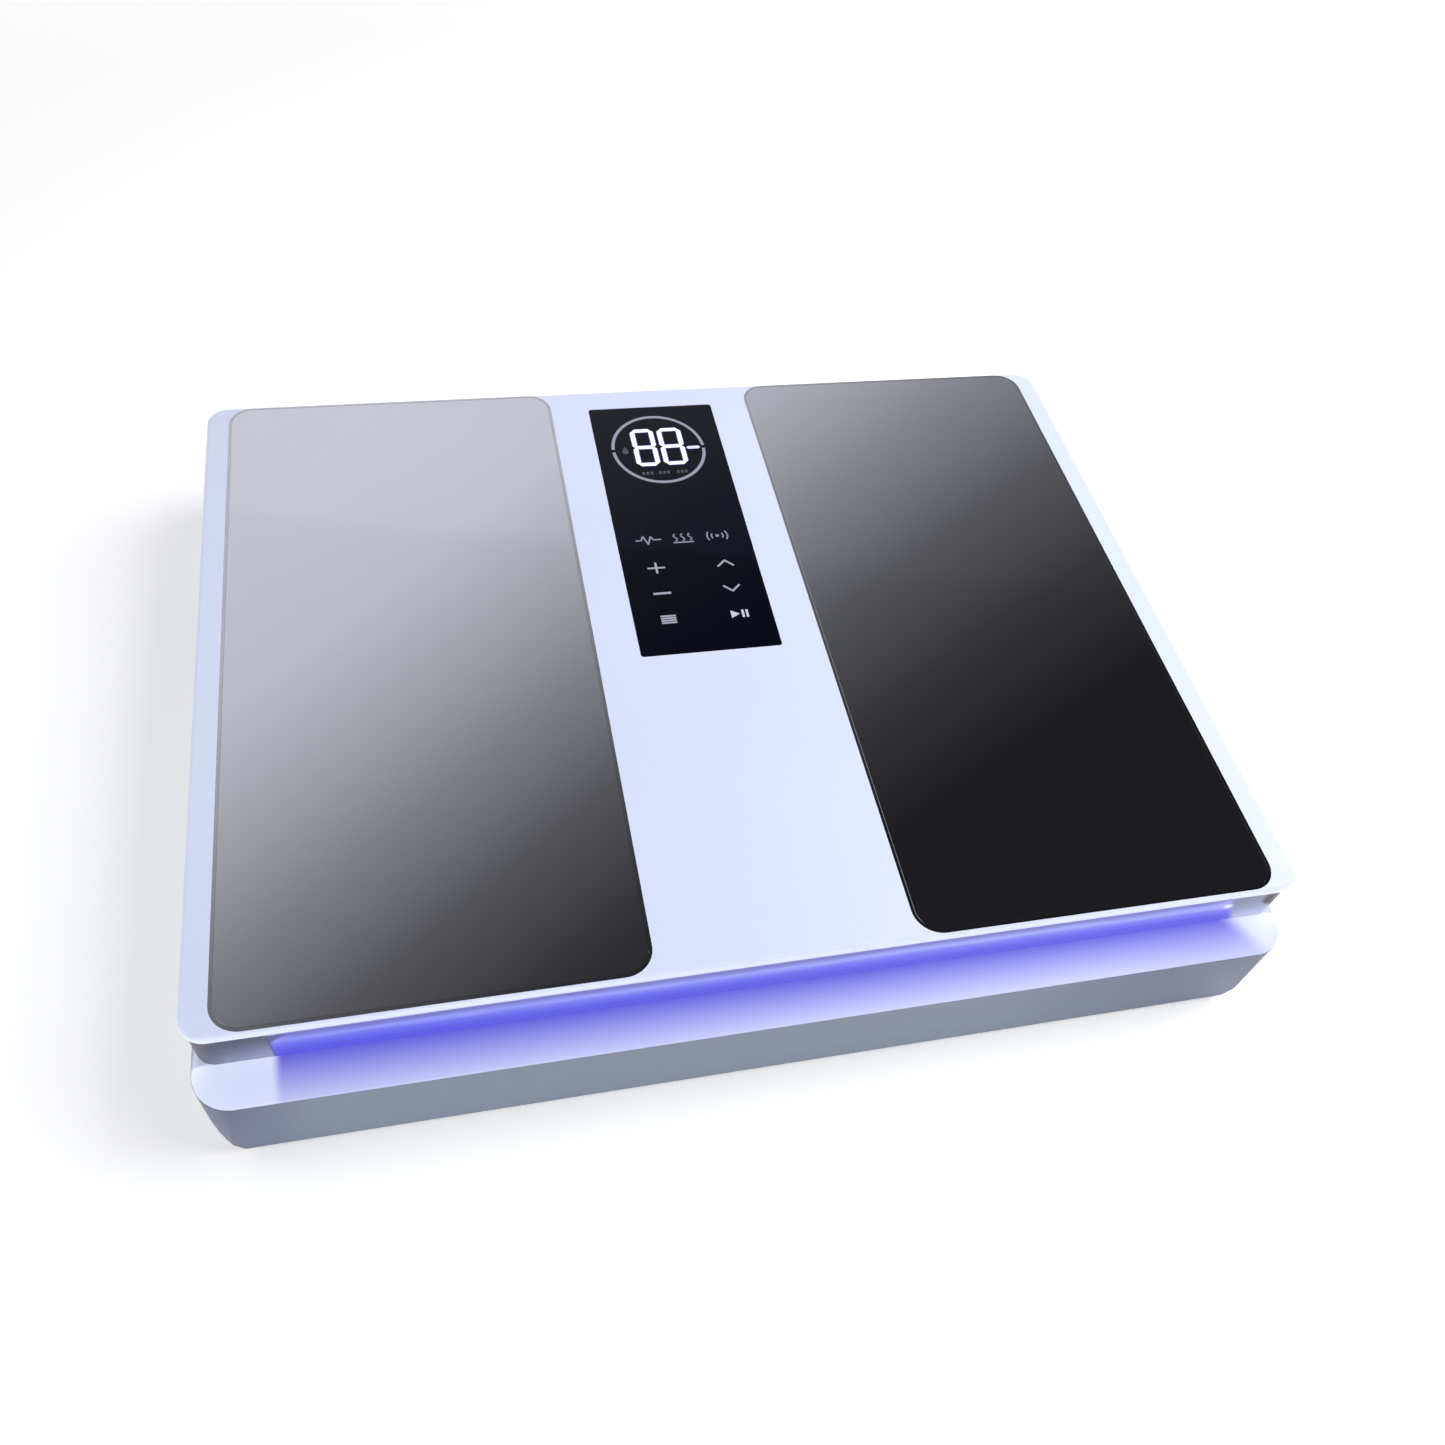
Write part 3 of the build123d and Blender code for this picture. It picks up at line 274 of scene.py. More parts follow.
def groove_shade_and_light(tree, x, y, z):
    """Painted shade of the lavender grey groove under the rim, lighter towards the ledge and the right, with
    painted light beside the bar's left end and painted shadow in its front corners.
    """
    drop = ramp(tree, z, GROOVE_LOW, GROOVE_HIGH, 1.0, 0.0)
    rightward = ramp(tree, x, -BAR_HIGH.x, BAR_HIGH.x, smooth=True)
    left = tones(tree, drop, GROOVE_SHADE_LEFT)
    right = tones(tree, drop, GROOVE_SHADE_RIGHT)
    front = ramp(tree, y, *GROOVE_FRONT, 1.0, 0.0)
    # painted shade in the groove's left front corner
    left_corner = ramp(tree, x, *LEFT_CORNER, LEFT_CORNER_MOST, 0.0)
    left = mix(tree, times(tree, left_corner, front), left, CORNER_SHADE)
    # the bar's light painted on the groove beside its left end
    beside = ramp(tree, x, *BAR_LIGHT_BESIDE, smooth=True)
    left = mix(tree, times(tree, beside, drop, front, BAR_LIGHT_BESIDE_MOST), left, PAINTED_BAR_LIGHT)
    # a painted shadow in the top right corner, deeper towards the end
    past = maths(tree, "SUBTRACT", x, RIGHT_CORNER_X)
    depth = maths(tree, "SUBTRACT", drop, ramp(tree, past, 0.0, 8 * MM, 0.0, 0.32))
    high_corner = times(tree, ramp(tree, past, 0.0, 3 * MM), ramp(tree, depth, 0.18, 0.32, 1.0, 0.0),
                        ramp(tree, y, *RIGHT_CORNER_FRONT, 1.0, 0.0))
    right = mix(tree, high_corner, right, RIGHT_SHADE)
    return mix(tree, rightward, left, right)


def case_finish():
    """Satin white moulding of the top cover; under the rim, where the groove begins, it carries the groove's
    painted shade and the bar's painted light.
    """
    material, tree, shader, tone = finish("case_white", WHITE, 0.3, vary=0.012, patch=0.08,
                                          bump=0.03, coat=0.3)
    x, y, z = axes(tree, object_coords(tree))
    under_rim = ramp(tree, z, *UNDER_RIM, 1.0, 0.0)
    front = ramp(tree, y, *RIM_FRONT, 1.0, 0.0)
    rim_shade_and_bar_light = mix(tree, times(tree, front, bar_span(tree, x)), groove_shade_and_light(tree, x, y, z), LIP_BAR_LIGHT)
    tree.links.new(mix(tree, under_rim, tone, rim_shade_and_bar_light), shader.inputs["Base Color"])
    return material


def base_finish():
    """White ledge over a wall darkened with painted shade, with the light bar's glow painted on the ledge."""
    material, tree, shader, tone = finish("base_white", WHITE, 0.36, vary=0.012, patch=0.08, bump=0.04)
    geometry = tree.nodes.new("ShaderNodeNewGeometry")
    upward = axes(tree, geometry.outputs["Normal"])[2]
    top = ramp(tree, upward, *FACES_UP)
    x, y, z = axes(tree, object_coords(tree))
    # painted shade on the wall: deeper at its ends, lighter at its foot and on the side and rear walls
    left_end = ramp(tree, x, *WALL_LEFT_END, 1.0, 0.0, smooth=True)
    right_end = ramp(tree, x, *WALL_RIGHT_END, smooth=True)
    wall_shade = mix(tree, right_end, mix(tree, left_end, WALL_BLUE, WALL_SHADE), WALL_RIGHT_SHADE)
    lower = ramp(tree, z, *WALL_FOOT, 0.28, 0.0)
    wall_shade = mix(tree, lower, wall_shade, shade(WALL_BLUE, 1.4))
    around = ramp(tree, y, *WALL_ROUND, smooth=True)
    wall_shade = mix(tree, around, wall_shade, WALL_AROUND_LIGHTENED)
    # painted shade towards the ledge's right end
    ledge_right = ramp(tree, x, *LEDGE_RIGHT, smooth=True)
    ledge = mix(tree, ledge_right, tone, shade(WHITE, LEDGE_RIGHT_SHADE))
    wall = mix(tree, top, wall_shade, ledge)
    across = ramp(tree, y, LEDGE_EDGE, CREASE, 0.16, 1.0)
    left = ramp(tree, x, *GLOW_LEFT, smooth=True)
    # at the bar's right end the glow spreads outwards, further towards the front of the ledge
    leaning = maths(tree, "ADD", x, times(tree, maths(tree, "SUBTRACT", y, CREASE), GLOW_LEAN))
    right = ramp(tree, leaning, *GLOW_RIGHT, 1.0, 0.0, smooth=True)
    front = ramp(tree, y, *GLOW_FRONT, 1.0, 0.0)
    span = times(tree, left, right)
    glow = times(tree, across, top, span, front)
    tree.links.new(mix(tree, glow, wall, VIOLET), shader.inputs["Base Color"])
    # past the bar's ends the light that the groove throws back on the ledge is painted on as the ledge's own glow
    squared = maths(tree, "POWER", ramp(tree, y, LEDGE_EDGE, CREASE), 2.0)
    near = ramp(tree, squared, 0.0, 1.0, 0.3, 1.0)
    back_light = times(tree, near, top, front, maths(tree, "SUBTRACT", 1.0, span))
    tree.links.new(mix(tree, back_light, BLACK, LEDGE_LIGHT), shader.inputs["Emission Color"])
    shader.inputs["Emission Strength"].default_value = 1.0
    return material


END_LIGHT = (0.05, 0.05, 0.17)                # the bar's unlit left end
PALE_LIGHT = (0.42, 0.43, 0.90)               # towards its right end
DEEPER = (0.45, 0.43, 0.93)                   # what the light is partly multiplied by to the left
HOT_LIGHT = (0.92, 0.95, 1.0)                 # the hot spot at its right end
DEEP_X = (BAR_LOW.x, 60 * MM)
DEEP_MOST = 0.6
PALE_X = (BAR_HIGH.x - 12 * MM, BAR_HIGH.x)
PALE_MOST = 0.5
PALE_Z = (-9 * MM, -4 * MM)                   # these three are heights from the bar's top
SPOT_LOW = (-7 * MM, -5 * MM)
SPOT_HIGH = (-4.2 * MM, -2.8 * MM)
SPOT_X = (BAR_HIGH.x - 4 * MM, BAR_HIGH.x - 1.5 * MM)
WANDER = 0.7 * MM                             # how far the bright band strays up and down
END_ROUND = 7 * MM                            # height of the lit part's rounded top left corner
END_REACH = 6 * MM                            # and how far it reaches along the bar
LIT_FROM = (BAR_LOW.x + 0.8 * MM, BAR_LOW.x + 3 * MM)
# where the bar's light, painted on the frame past its right end, fades
SPILL_RIGHT = (BAR_HIGH.x + 3 * MM, BAR_HIGH.x + 7 * MM)
SPILL_LEFT = (BAR_HIGH.x - 3 * MM, BAR_HIGH.x - 2 * MM)
SPILL_LEAN = 0.42                             # how far the spill's right edge moves in with height
BAR_TONES = (                                 # height from the bar's top in millimetres, and the light there
    (-16.4, (0.107, 0.107, 0.69)),
    (-12.5, (0.108, 0.108, 0.67)),
    (-8.6, (0.155, 0.157, 0.765)),
    (-6.4, (0.214, 0.232, 0.75)),
    (-4.8, (0.330, 0.370, 0.83)),
    (-3.4, (0.320, 0.357, 0.80)),
    (-2.0, (0.225, 0.240, 0.60)),
    (-0.6, (0.175, 0.178, 0.47)),
)


def bar_light(tree, x, z):
    """The lit diffuser's colour: a wandering bright band, paler to the right, with a hot spot at that end."""
    streaks = noise(tree, object_coords(tree, (1, 1, 22)), 0.03, 2.0)
    wander = ramp(tree, streaks, *NOISE_RANGE, -WANDER, WANDER)
    stops = [(height * MM, colour) for height, colour in BAR_TONES]
    drop = maths(tree, "SUBTRACT", z, BAR_HIGH.z)
    lit = tones(tree, maths(tree, "ADD", drop, wander), stops)
    leftward = ramp(tree, x, *DEEP_X, DEEP_MOST, 0.0)
    lit = mix(tree, leftward, lit, mix_by(tree, lit, DEEPER))
    pale = times(tree, ramp(tree, x, *PALE_X, 0.0, PALE_MOST, smooth=True), ramp(tree, drop, *PALE_Z))
    lit = mix(tree, pale, lit, PALE_LIGHT)
    spot = times(tree, ramp(tree, x, *SPOT_X, smooth=True),
                 ramp(tree, drop, *SPOT_LOW, smooth=True),
                 ramp(tree, drop, *SPOT_HIGH, 1.0, 0.0, smooth=True))
    return mix(tree, spot, lit, HOT_LIGHT)


def bar_finish():
    """Diffuser lit from behind, except for a sliver at its left end."""
    material, tree, shader, _ = finish("light_diffuser", UNLIT, 0.35, vary=0.1, bump=0.03)
    x, _, z = axes(tree, object_coords(tree))
    # the light starts further in from the left end at the bar's top, which rounds its corner
    drop = maths(tree, "SUBTRACT", BAR_HIGH.z, z)
    corner = maths(tree, "POWER", ramp(tree, drop, 0.0, END_ROUND, 1.0, 0.0), 2.0)
    inward = maths(tree, "SUBTRACT", x, times(tree, corner, END_REACH))
    lit_part = ramp(tree, inward, *LIT_FROM, smooth=True)
    light = mix(tree, lit_part, END_LIGHT, bar_light(tree, x, z))
    tree.links.new(light, shader.inputs["Emission Color"])
    shader.inputs["Emission Strength"].default_value = 1.0
    return material


def frame_finish():
    """Grey-lavender groove between base and deck, its tone mostly the groove's painted shade, with the bar's light
    painted past its right end as the frame's own glow.
    """
    material, tree, shader, tone = finish("frame_plastic", FRAME_GREY, 0.4, vary=0.03, bump=0.05)
    x, y, z = axes(tree, object_coords(tree))
    patches = ramp(tree, noise(tree, object_coords(tree), 0.03), *NOISE_RANGE, 0.0, 0.06)
    colour = mix(tree, patches, groove_shade_and_light(tree, x, y, z), tone)
    # the bar's light painted on the frame past its right end, as its own glow
    leaning = maths(tree, "ADD", x, times(tree, maths(tree, "SUBTRACT", z, GROOVE_LOW), SPILL_LEAN))
    spill = times(tree, ramp(tree, leaning, *SPILL_RIGHT, 1.0, 0.0, smooth=True),
                  ramp(tree, x, *SPILL_LEFT), ramp(tree, y, CREASE, 0, 1.0, 0.0))
    tree.links.new(mix(tree, spill, colour, UNLIT), shader.inputs["Base Color"])
    tree.links.new(mix(tree, spill, BLACK, bar_light(tree, x, z)), shader.inputs["Emission Color"])
    shader.inputs["Emission Strength"].default_value = 1.0
    return material


def mirror_finish():
    """Toughened glass with a dark mirror coating."""
    return finish("mirror_glass", (0.56, 0.572, 0.64), 0.05, metallic=1.0, vary=0.006,
                  patch=0.05, grain=0.002, bump=0.0, spread=0.02)[0]


def gasket_finish():
    """Glossy dark seal round the glass."""
    return finish("gasket_black", (0.46, 0.47, 0.52), 0.08, metallic=1.0, vary=0.03,
                  patch=0.02, grain=0.001, bump=0.02, spread=0.04)[0]


# the lens round the display, lighter with a painted reflection, and round the keys
LENS_REFLECTED = (0.0013, 0.0028, 0.0085)
BY_KEYS = (0.0002, 0.0010, 0.0050)
LENS_CHANGE = (42 * MM, 48 * MM)              # Y where one turns into the other, at X = 0
LENS_SLANT = 0.235                            # how far that line drops for each step in X


def lens_finish():
    """Black printed glass, with a painted reflection that makes it a shade lighter round the display than round
    the keys.
    """
    material, tree, shader, tone = finish("lens_glass", LENS_REFLECTED, 0.07, vary=0.2, patch=0.02,
                                          grain=0.002, bump=0.0, spread=0.02)
    x, y, _ = axes(tree, object_coords(tree))
    slanted = maths(tree, "ADD", y, times(tree, x, LENS_SLANT))
    reflected_part = ramp(tree, slanted, *LENS_CHANGE, smooth=True)
    tree.links.new(mix(tree, reflected_part, BY_KEYS, tone), shader.inputs["Base Color"])
    shader.inputs["Specular IOR Level"].default_value = 0.12
    return material


def glow_finish(name, colour, strength):
    """A lit mark: its own light, faintly uneven."""
    material, tree, shader, _ = finish(name, shade(colour, 0.4), 0.5, vary=0.05, patch=0.004, bump=0.0)
    uneven = noise(tree, object_coords(tree), 0.006)
    lit = mix(tree, ramp(tree, uneven, *NOISE_RANGE), shade(colour, 0.92), colour)
    tree.links.new(lit, shader.inputs["Emission Color"])
    shader.inputs["Emission Strength"].default_value = strength
    return material


def striped_finish(name, colour, second, pitch, direction, roughness=0.5, metallic=0.0):
    """A finish crossed by fine even lines, such as tracks, windings or cable cores."""
    material, tree, shader, tone = finish(name, colour, roughness, metallic=metallic)
    wave = tree.nodes.new("ShaderNodeTexWave")
    wave.bands_direction = direction
    wave.inputs["Scale"].default_value = math.tau / 20 / pitch     # one line for each pitch, in metres
    wave.inputs["Distortion"].default_value = 0.4
    tree.links.new(object_coords(tree), wave.inputs["Vector"])
    lines = ramp(tree, wave.outputs["Fac"], 0.45, 0.6)
    tree.links.new(mix(tree, lines, tone, second), shader.inputs["Base Color"])
    return material


def plain_finish(slot):
    """A slot's recorded colour with the grain and gloss of its class."""
    gloss = {"rubber": 0.75, "matte_plastic": 0.55, "gloss_plastic": 0.28, "fabric": 0.95, "cast_iron": 0.7,
             "brushed_steel": 0.35, "aluminium": 0.4, "brass": 0.35, "glass": 0.1}
    kind = slot["class"]
    metal = 1.0 if kind in ("brushed_steel", "aluminium", "brass") else 0.0
    grain = 0.0004 if kind in ("fabric", "rubber") else 0.0008
    bump = {"fabric": 0.6, "rubber": 0.25}.get(kind, 0.12)
    stretch = (1, 12, 1) if metal else (1, 1, 1)
    return finish(slot["slot"], slot["base_color"], gloss[kind], metal, vary=0.08, patch=0.015,
                  grain=grain, bump=bump, spread=0.12, stretch=stretch)[0]


STRIPED = (                                   # slot, two colours, pitch, direction, roughness, metallic
    ("heater_film", (0.45, 0.22, 0.06), (0.25, 0.1, 0.03), 0.006, "Y"),
    ("copper_wire", (0.72, 0.33, 0.14), (0.45, 0.17, 0.06), 0.0008, "Z", 0.3, 1.0),
    ("board_green", (0.02, 0.16, 0.06), (0.03, 0.24, 0.09), 0.003, "DIAGONAL"),
    ("ribbon_white", (0.8, 0.8, 0.78), (0.55, 0.55, 0.56), 0.0015, "X"),
)


def all_finishes():
    """One material for each of the record's slots."""
    made = {
        "case_white": case_finish(),
        "frame_plastic": frame_finish(),
        "light_diffuser": bar_finish(),
        "mirror_glass": mirror_finish(),
        "lens_glass": lens_finish(),
    }
    for name, *look in STRIPED:
        made[name] = striped_finish(name, *look)
    for slot in frame["record"]["materials"]:
        if slot["slot"] not in made:
            made[slot["slot"]] = plain_finish(slot)
    return made


finishes = all_finishes()
seal = gasket_finish()
own_finish = {"base_tray": base_finish(), "plate_gasket_left": seal, "plate_gasket_right": seal}
for part in frame["record"]["subparts"]:
    material = own_finish.get(part["node"], finishes[part["material_slot"]])
    mesh = NODES[part["node"]].data
    mesh.materials.clear()
    mesh.materials.append(material)


# ---- the display's lit marks: thin pieces on the lens, laid out in millimetres ----

LENS_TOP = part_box("display_lens")[1].z
MARK_T = 0.03 * MM                            # how far a mark stands off the lens, and is sunk into it
STROKE = 0.95                                 # line widths
THIN = 0.75
CARRY = 0.22                                  # how far a run passes its corner, over its width

BRIGHT = glow_finish("mark_bright", (0.98, 0.98, 1.0), 1.0)
BLUE_WHITE = glow_finish("mark_blue_white", (0.60, 0.62, 1.0), 1.0)
RING_GREY = glow_finish("mark_ring", (0.23, 0.23, 0.31), 1.0)
KEY_GREY = glow_finish("mark_key", (0.27, 0.28, 0.35), 1.0)
MODE_GREY = glow_finish("mark_mode", (0.20, 0.20, 0.25), 1.0)
PLAY_GREY = glow_finish("mark_play", (0.42, 0.44, 0.56), 1.0)
HALO_BLUE = glow_finish("mark_halo", (0.11, 0.12, 0.50), 1.0)
DIM = glow_finish("mark_dim", (0.05, 0.05, 0.065), 1.0)


def mark(name, outlines, material, height=MARK_T):
    """One piece from flat outlines, each a loop of points in millimetres, raised a little off the lens."""
    mesh = bpy.data.meshes.new(name)
    work = bmesh.new()
    for outline in outlines:
        face = work.faces.new([work.verts.new((x * MM, y * MM, LENS_TOP + height)) for x, y in outline])
        face.normal_update()
        if face.normal.z < 0:
            face.normal_flip()
        skirt = bmesh.ops.extrude_edge_only(work, edges=list(face.edges))
        for item in skirt["geom"]:
            if isinstance(item, bmesh.types.BMVert):
                item.co.z = LENS_TOP - MARK_T
    bmesh.ops.recalc_face_normals(work, faces=work.faces)
    work.to_mesh(mesh)
    work.free()
    piece = bpy.data.objects.new(name, mesh)
    bpy.context.scene.collection.objects.link(piece)
    mesh.materials.append(material)
    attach(piece, "case")


def stroke(points, width=STROKE):
    """Quads along a line, one for each run, with their ends carried a little past the corners."""
    quads = []
    for start, end in zip(points, points[1:]):
        a, b = Vector(start), Vector(end)
        along = (b - a).normalized()
        side = Vector((-along.y, along.x)) * width / 2
        a, b = a - along * width * CARRY, b + along * width * CARRY
        quads.append([tuple(p) for p in (a + side, b + side, b - side, a - side)])
    return quads


def bar(x, y, width, height):
    """A rectangle about its centre."""
    w, h = width / 2, height / 2
    return [(x - w, y - h), (x + w, y - h), (x + w, y + h), (x - w, y + h)]


def arc(x, y, radius, start, end, steps=24):
    """Points along an arc; angles in degrees from +X."""
    turns = [math.radians(start + (end - start) * i / steps) for i in range(steps + 1)]
    return [(x + radius * math.cos(t), y + radius * math.sin(t)) for t in turns]


def band(x, y, radius, width, start, end, steps=48, tall=1.0):
    """A stretch of a ring as one outline; tall stretches the ring along Y."""
    outer = arc(x, y, radius + width / 2, start, end, steps)
    inner = arc(x, y, radius - width / 2, start, end, steps)
    return [(u, y + (v - y) * tall) for u, v in outer + inner[::-1]]


def segment(x, y, length, width, upright):
    """A seven-segment bar with pointed ends."""
    half, w = length / 2, width / 2
    loop = [(-half, 0), (-half + w, w), (half - w, w), (half, 0), (half - w, -w), (-half + w, -w)]
    if upright:
        loop = [(-v, u) for u, v in loop]
    return [(x + u, y + v) for u, v in loop]


def digit_eight(x, y, width, height, thick):
    """All seven segments of a digit, with hairline gaps between them."""
    across = width - thick
    tall = (height - thick) / 2
    bars = [segment(x, y + level * tall, across - HAIRLINE, thick, False) for level in (-1, 0, 1)]
    for side in (-1, 1):
        for level in (-0.5, 0.5):
            bars.append(segment(x + side * across / 2, y + level * tall, tall - HAIRLINE, thick, True))
    return bars


RING_CENTRE = (-0.9, 115.8)
RING_R = 22.2
RING_W = 1.55
RING_TALL = 1.065                             # height of the ring over its width
RING_GAP = 2.5                                # degrees from a half's end to the ring's side
DIGITS = ((-7.5, 11.4), (6.1, 11.8))          # X and width of each digit
DIGIT_LEVEL = 117.3
DIGIT_H = 26.6
DIGIT_T = 2.15
HAIRLINE = 0.25                               # between a digit's segments
HALO_W = 0.35
STATUS_X = (-9.1, -1.0, 7.7)
STATUS_LEVEL = 98.8
KEY_COLUMNS = (-15.8, 16.0)
KEY_ROWS = (36.4, 20.8, 5.3)
MODE_LEVEL = 54.1


def both_digits(edge=0.0):
    """The segments of both digits, with an edge added all round."""
    bars = []
    for x, width in DIGITS:
        bars += digit_eight(x, DIGIT_LEVEL, width + edge, DIGIT_H + edge, DIGIT_T + edge)
    return bars


def digits():
    """The two digits, the dash beside them, and the dim blue edge that spills round the digits."""
    mark("mark_digits", both_digits(), BRIGHT)
    mark("mark_dash", [segment(16.3, 115.6, 7.0, 2.0, False)], BLUE_WHITE)
    mark("mark_digit_halo", both_digits(2 * HALO_W), HALO_BLUE, MARK_T / 2)


def ring_and_status():
    """The ring in two halves, a drop beside the digits, and three groups of bars below them."""
    halves = [band(*RING_CENTRE, RING_R, RING_W, side + RING_GAP, side + 180 - RING_GAP, 64, RING_TALL)
              for side in (0, 180)]
    mark("mark_ring", halves, RING_GREY)
    x, y = -17.4, 115.8
    drop = arc(x, y - 1.0, 1.6, -200, 20, 16) + [(x, y + 3.0)]
    mark("mark_status_drop", [drop], DIM)
    dots = [bar(x + step, STATUS_LEVEL, 1.3, 1.9) for x in STATUS_X for step in (-1.95, 0, 1.95)]
    mark("mark_status_bars", dots, DIM)


def mode_marks():
    """Pulse, heat and radio waves: a generic pictogram for each mode."""
    x, y = -16.4, MODE_LEVEL
    pulse = [(-5.8, 0), (-3.4, 0), (-2.2, 2.6), (-0.4, -2.7), (1.2, 2.2), (2.4, 0), (5.8, 0)]
    mark("mark_mode_pulse", stroke([(x + u, y + v) for u, v in pulse], THIN), MODE_GREY)
    x = -0.4
    heat = []
    for column in (-3.4, 0, 3.4):
        wave = [(x + column + 0.7 * math.sin(math.tau * i / 12), y - 1.7 + 4.4 * i / 12)
                for i in range(13)]
        heat += stroke(wave, THIN)
    mark("mark_mode_heat", heat + [bar(x, y - 2.7, 9.6, 0.8)], MODE_GREY)
    x = 15.9
    waves = [arc(x, y, 0.9, 0, 345, 20)]
    for side in (0, 180):
        for radius in (2.7, 4.8):
            waves.append(band(x, y, radius, 0.7, side - 34, side + 34, 12))
    mark("mark_mode_waves", waves, MODE_GREY)


def key_marks():
    """A mark for each of the six touch keys."""
    left, right = KEY_COLUMNS
    top, middle, bottom = KEY_ROWS
    plus = [bar(left, top, 8, 0.95), bar(left, top + 1.9, 1.0, 2.9), bar(left, top - 1.9, 1.0, 2.9)]
    mark("mark_key_plus", plus, KEY_GREY)
    mark("mark_key_minus", [bar(left, middle, 8, 1.2)], KEY_GREY)
    lines = [bar(left + 0.2, bottom + level, 6.8, 0.95) for level in (-1.95, -0.65, 0.65, 1.95)]
    mark("mark_key_list", lines, KEY_GREY)
    up = [(-3.6, -1.7), (0, 1.7), (3.6, -1.7)]
    mark("mark_key_up", stroke([(right + u, top + v) for u, v in up]), KEY_GREY)
    mark("mark_key_down", stroke([(right + u, middle - v) for u, v in up]), KEY_GREY)
    play = [(right - 3.7, bottom - 2.2), (right + 0.3, bottom), (right - 3.7, bottom + 2.2)]
    pause = [bar(right + offset, bottom, 1.1, 4.4) for offset in (1.7, 3.6)]
    mark("mark_key_play_pause", [play] + pause, PLAY_GREY)


digits()
ring_and_status()
mode_marks()
key_marks()


# ---- on and off marks on the power rocker ----

PIVOT = Vector(frame["joints"][0]["pos_m"])
LEAN = math.radians(9)                        # the rocker's tilt at rest
FACE_R = 13.74                                # radius of the rocker's dished face, in millimetres
FACE_DEPTH = 3.6                              # from the pivot to the lowest point of the face
PAINT_OFF = 0.03                              # how far the paint stands off the face
PAINT_T = 0.05


def rocker_mark(name, outlines):
    """Paint on the dished face: u runs along the rocker and v up it, in millimetres."""
    mesh = bpy.data.meshes.new(name)
    work = bmesh.new()
    turn = Matrix.Rotation(LEAN, 3, "Z")
    for outline in outlines:
        loop = []
        for u, v in outline:
            depth = FACE_DEPTH + FACE_R - math.sqrt(FACE_R * FACE_R - u * u) + PAINT_OFF
            loop.append(work.verts.new(PIVOT + turn @ Vector((u, depth, v)) * MM))
        work.faces.new(loop)
    bmesh.ops.recalc_face_normals(work, faces=work.faces)
    bmesh.ops.solidify(work, geom=work.faces[:], thickness=PAINT_T * MM)
    work.to_mesh(mesh)
    work.free()
    piece = bpy.data.objects.new(name, mesh)
    bpy.context.scene.collection.objects.link(piece)
    mesh.materials.append(finishes["diffuser_white"])
    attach(piece, "power_rocker")


rocker_mark("mark_rocker_on", [bar(-4.2, 0, 0.6, 3.6)])
rocker_mark("mark_rocker_off", [band(4.2, 0, 1.5, 0.55, 0, 180, 16), band(4.2, 0, 1.5, 0.55, 180, 360, 16)])


# ---- studio: floor, lights and camera ----

FLOOR_HALF = 6.0
FLOOR_GLOW = 0.42                             # the sweep's own light under the object
FLOOR_AWAY = (0.5, 2.6)                       # squared distance, in m2, over which that light grows to 1


def make_floor():
    """Pale sweep, lit a little from below so that shadows stay soft."""
    mesh = bpy.data.meshes.new("floor")
    signs = ((-1, -1), (1, -1), (1, 1), (-1, 1))
    corners = [(u * FLOOR_HALF, v * FLOOR_HALF, 0) for u, v in signs]
    mesh.from_pydata(corners, [], [(0, 1, 2, 3)])
    floor = bpy.data.objects.new("floor", mesh)
    bpy.context.scene.collection.objects.link(floor)
    material, tree, shader, _ = finish("floor", (0.8, 0.8, 0.8), 0.7, vary=0.006, patch=0.3, bump=0.02)
    shader.inputs["Specular IOR Level"].default_value = 0.1
    shader.inputs["Emission Color"].default_value = (1, 1, 1, 1)
    x, y, _ = axes(tree, object_coords(tree))
    squares = maths(tree, "ADD", times(tree, x, x), times(tree, y, y))
    away = ramp(tree, squares, *FLOOR_AWAY, FLOOR_GLOW, 1.0)
    tree.links.new(away, shader.inputs["Emission Strength"])
    mesh.materials.append(material)


DARK_SIDE = Vector((0.545, -0.650, 0.530))    # the studio is dark towards the front right
STUDIO_TONES = (                              # how far towards the dark side, and the light from there
    (-0.17, 1.0), (-0.09, 0.95), (-0.02, 0.70), (0.06, 0.39), (0.14, 0.165), (0.22, 0.065), (0.30, 0.024),
)
PANEL_EDGE = Vector((0.1605, 0.6865, -0.7092))    # square to a panel's edge, which the deck reflects
PANEL_WIDTH = (-0.008, 0.004)                 # how soft that edge is
PANEL_SHADE = 0.93


def dot(tree, vector, direction):
    """How far a vector points along a direction."""
    node = tree.nodes.new("ShaderNodeVectorMath")
    node.operation = "DOT_PRODUCT"
    node.inputs[1].default_value = direction
    tree.links.new(vector, node.inputs[0])
    return node.outputs["Value"]


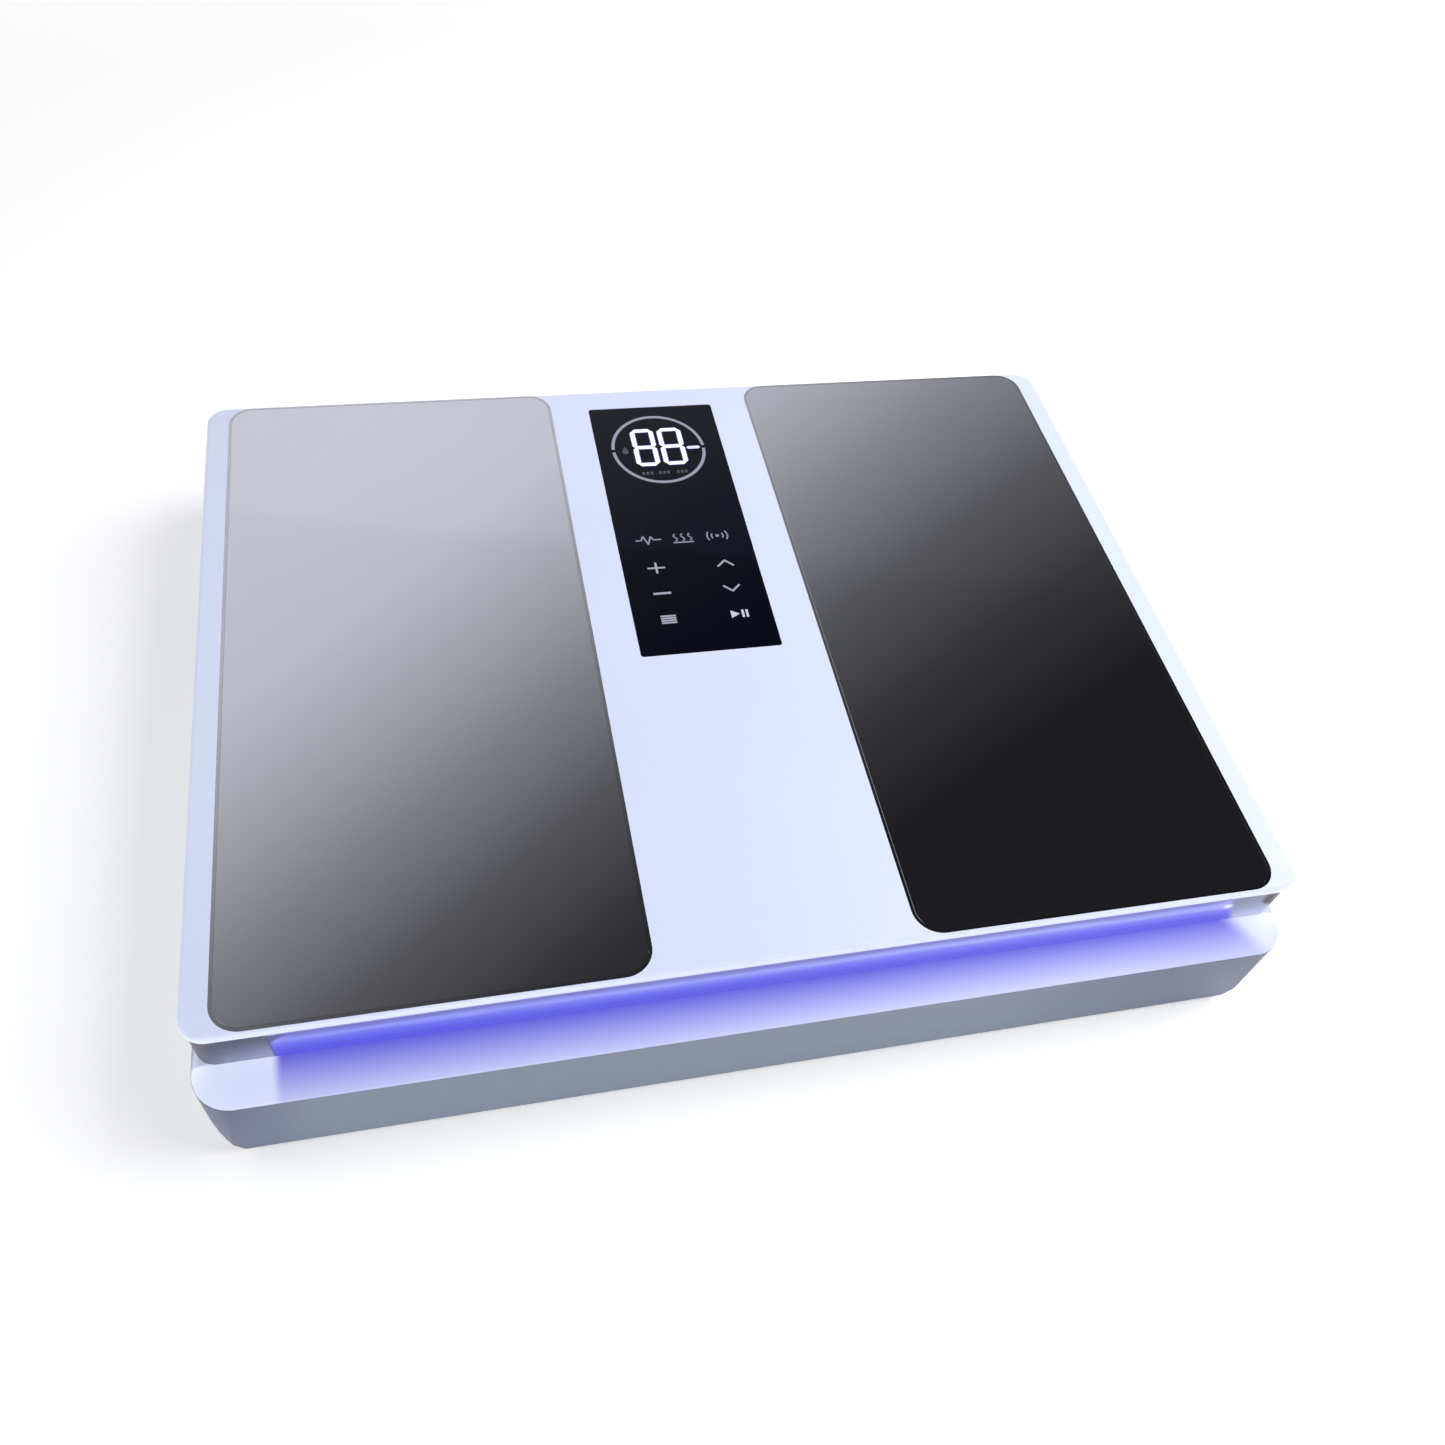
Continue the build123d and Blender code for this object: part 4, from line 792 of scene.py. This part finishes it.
def make_world():
    """Soft studio: bright behind and to the left, dark in front to the right, white behind the object."""
    world = bpy.data.worlds.new("studio")
    bpy.context.scene.world = world
    world.use_nodes = True
    tree = world.node_tree
    background = tree.nodes["Background"]
    direction = tree.nodes.new("ShaderNodeTexCoord").outputs["Generated"]
    stops = [(place, (light, light, light)) for place, light in STUDIO_TONES]
    studio = tones(tree, dot(tree, direction, DARK_SIDE), stops)
    seen = tree.nodes.new("ShaderNodeLightPath").outputs["Is Camera Ray"]
    tree.links.new(mix(tree, seen, studio, (1.0, 1.0, 1.0)), background.inputs["Color"])
    panel = ramp(tree, dot(tree, direction, PANEL_EDGE), *PANEL_WIDTH, PANEL_SHADE, 1.0)
    tree.links.new(maths(tree, "MAXIMUM", seen, panel), background.inputs["Strength"])


LAMP_TINT = (0.97, 0.98, 1.0)
SOFTBOXES = (                                 # name, place, aim and size in metres, power in watts
    ("key", (0.75, -0.05, 0.95), (0.05, 0, 0.05), (1.0, 1.0), 16),
    ("front_fill", (-0.7, -1.5, 0.45), (0, 0, 0.05), (1.6, 0.5), 15.5),
)


def softbox(name, place, aim, size, power):
    """A rectangular lamp that doesn't show in reflections."""
    light = bpy.data.lights.new(name, "AREA")
    light.shape = "RECTANGLE"
    light.size, light.size_y = size
    light.energy = power
    light.color = LAMP_TINT
    lamp = bpy.data.objects.new(name, light)
    lamp.visible_glossy = False
    lamp.location = place
    lamp.rotation_euler = (Vector(aim) - Vector(place)).to_track_quat("-Z", "Y").to_euler()
    bpy.context.scene.collection.objects.link(lamp)


CAMERA_AT = Vector((-0.11044, -0.35569, 0.48656))
PITCH, YAW, ROLL = (math.radians(a) for a in (52.12, 19.44, 9.86))
SENSOR_MM = 36.0
LENS_MM = 31.675


def make_camera():
    """Looks down by the pitch, turned right by the yaw, and rolled about its own axis."""
    data = bpy.data.cameras.new("camera")
    data.sensor_width = SENSOR_MM
    data.lens = LENS_MM
    data.clip_start = 0.01
    camera = bpy.data.objects.new("camera", data)
    turned = Matrix.Rotation(-YAW, 4, "Z")
    tipped = Matrix.Rotation(math.pi / 2 - PITCH, 4, "X")
    rolled = Matrix.Rotation(ROLL, 4, "Z")
    camera.matrix_world = Matrix.Translation(CAMERA_AT) @ (turned @ tipped @ rolled)
    bpy.context.scene.collection.objects.link(camera)
    bpy.context.scene.camera = camera


make_floor()
make_world()
for lamp in SOFTBOXES:
    softbox(*lamp)
make_camera()
bpy.context.scene.view_settings.view_transform = "Standard"
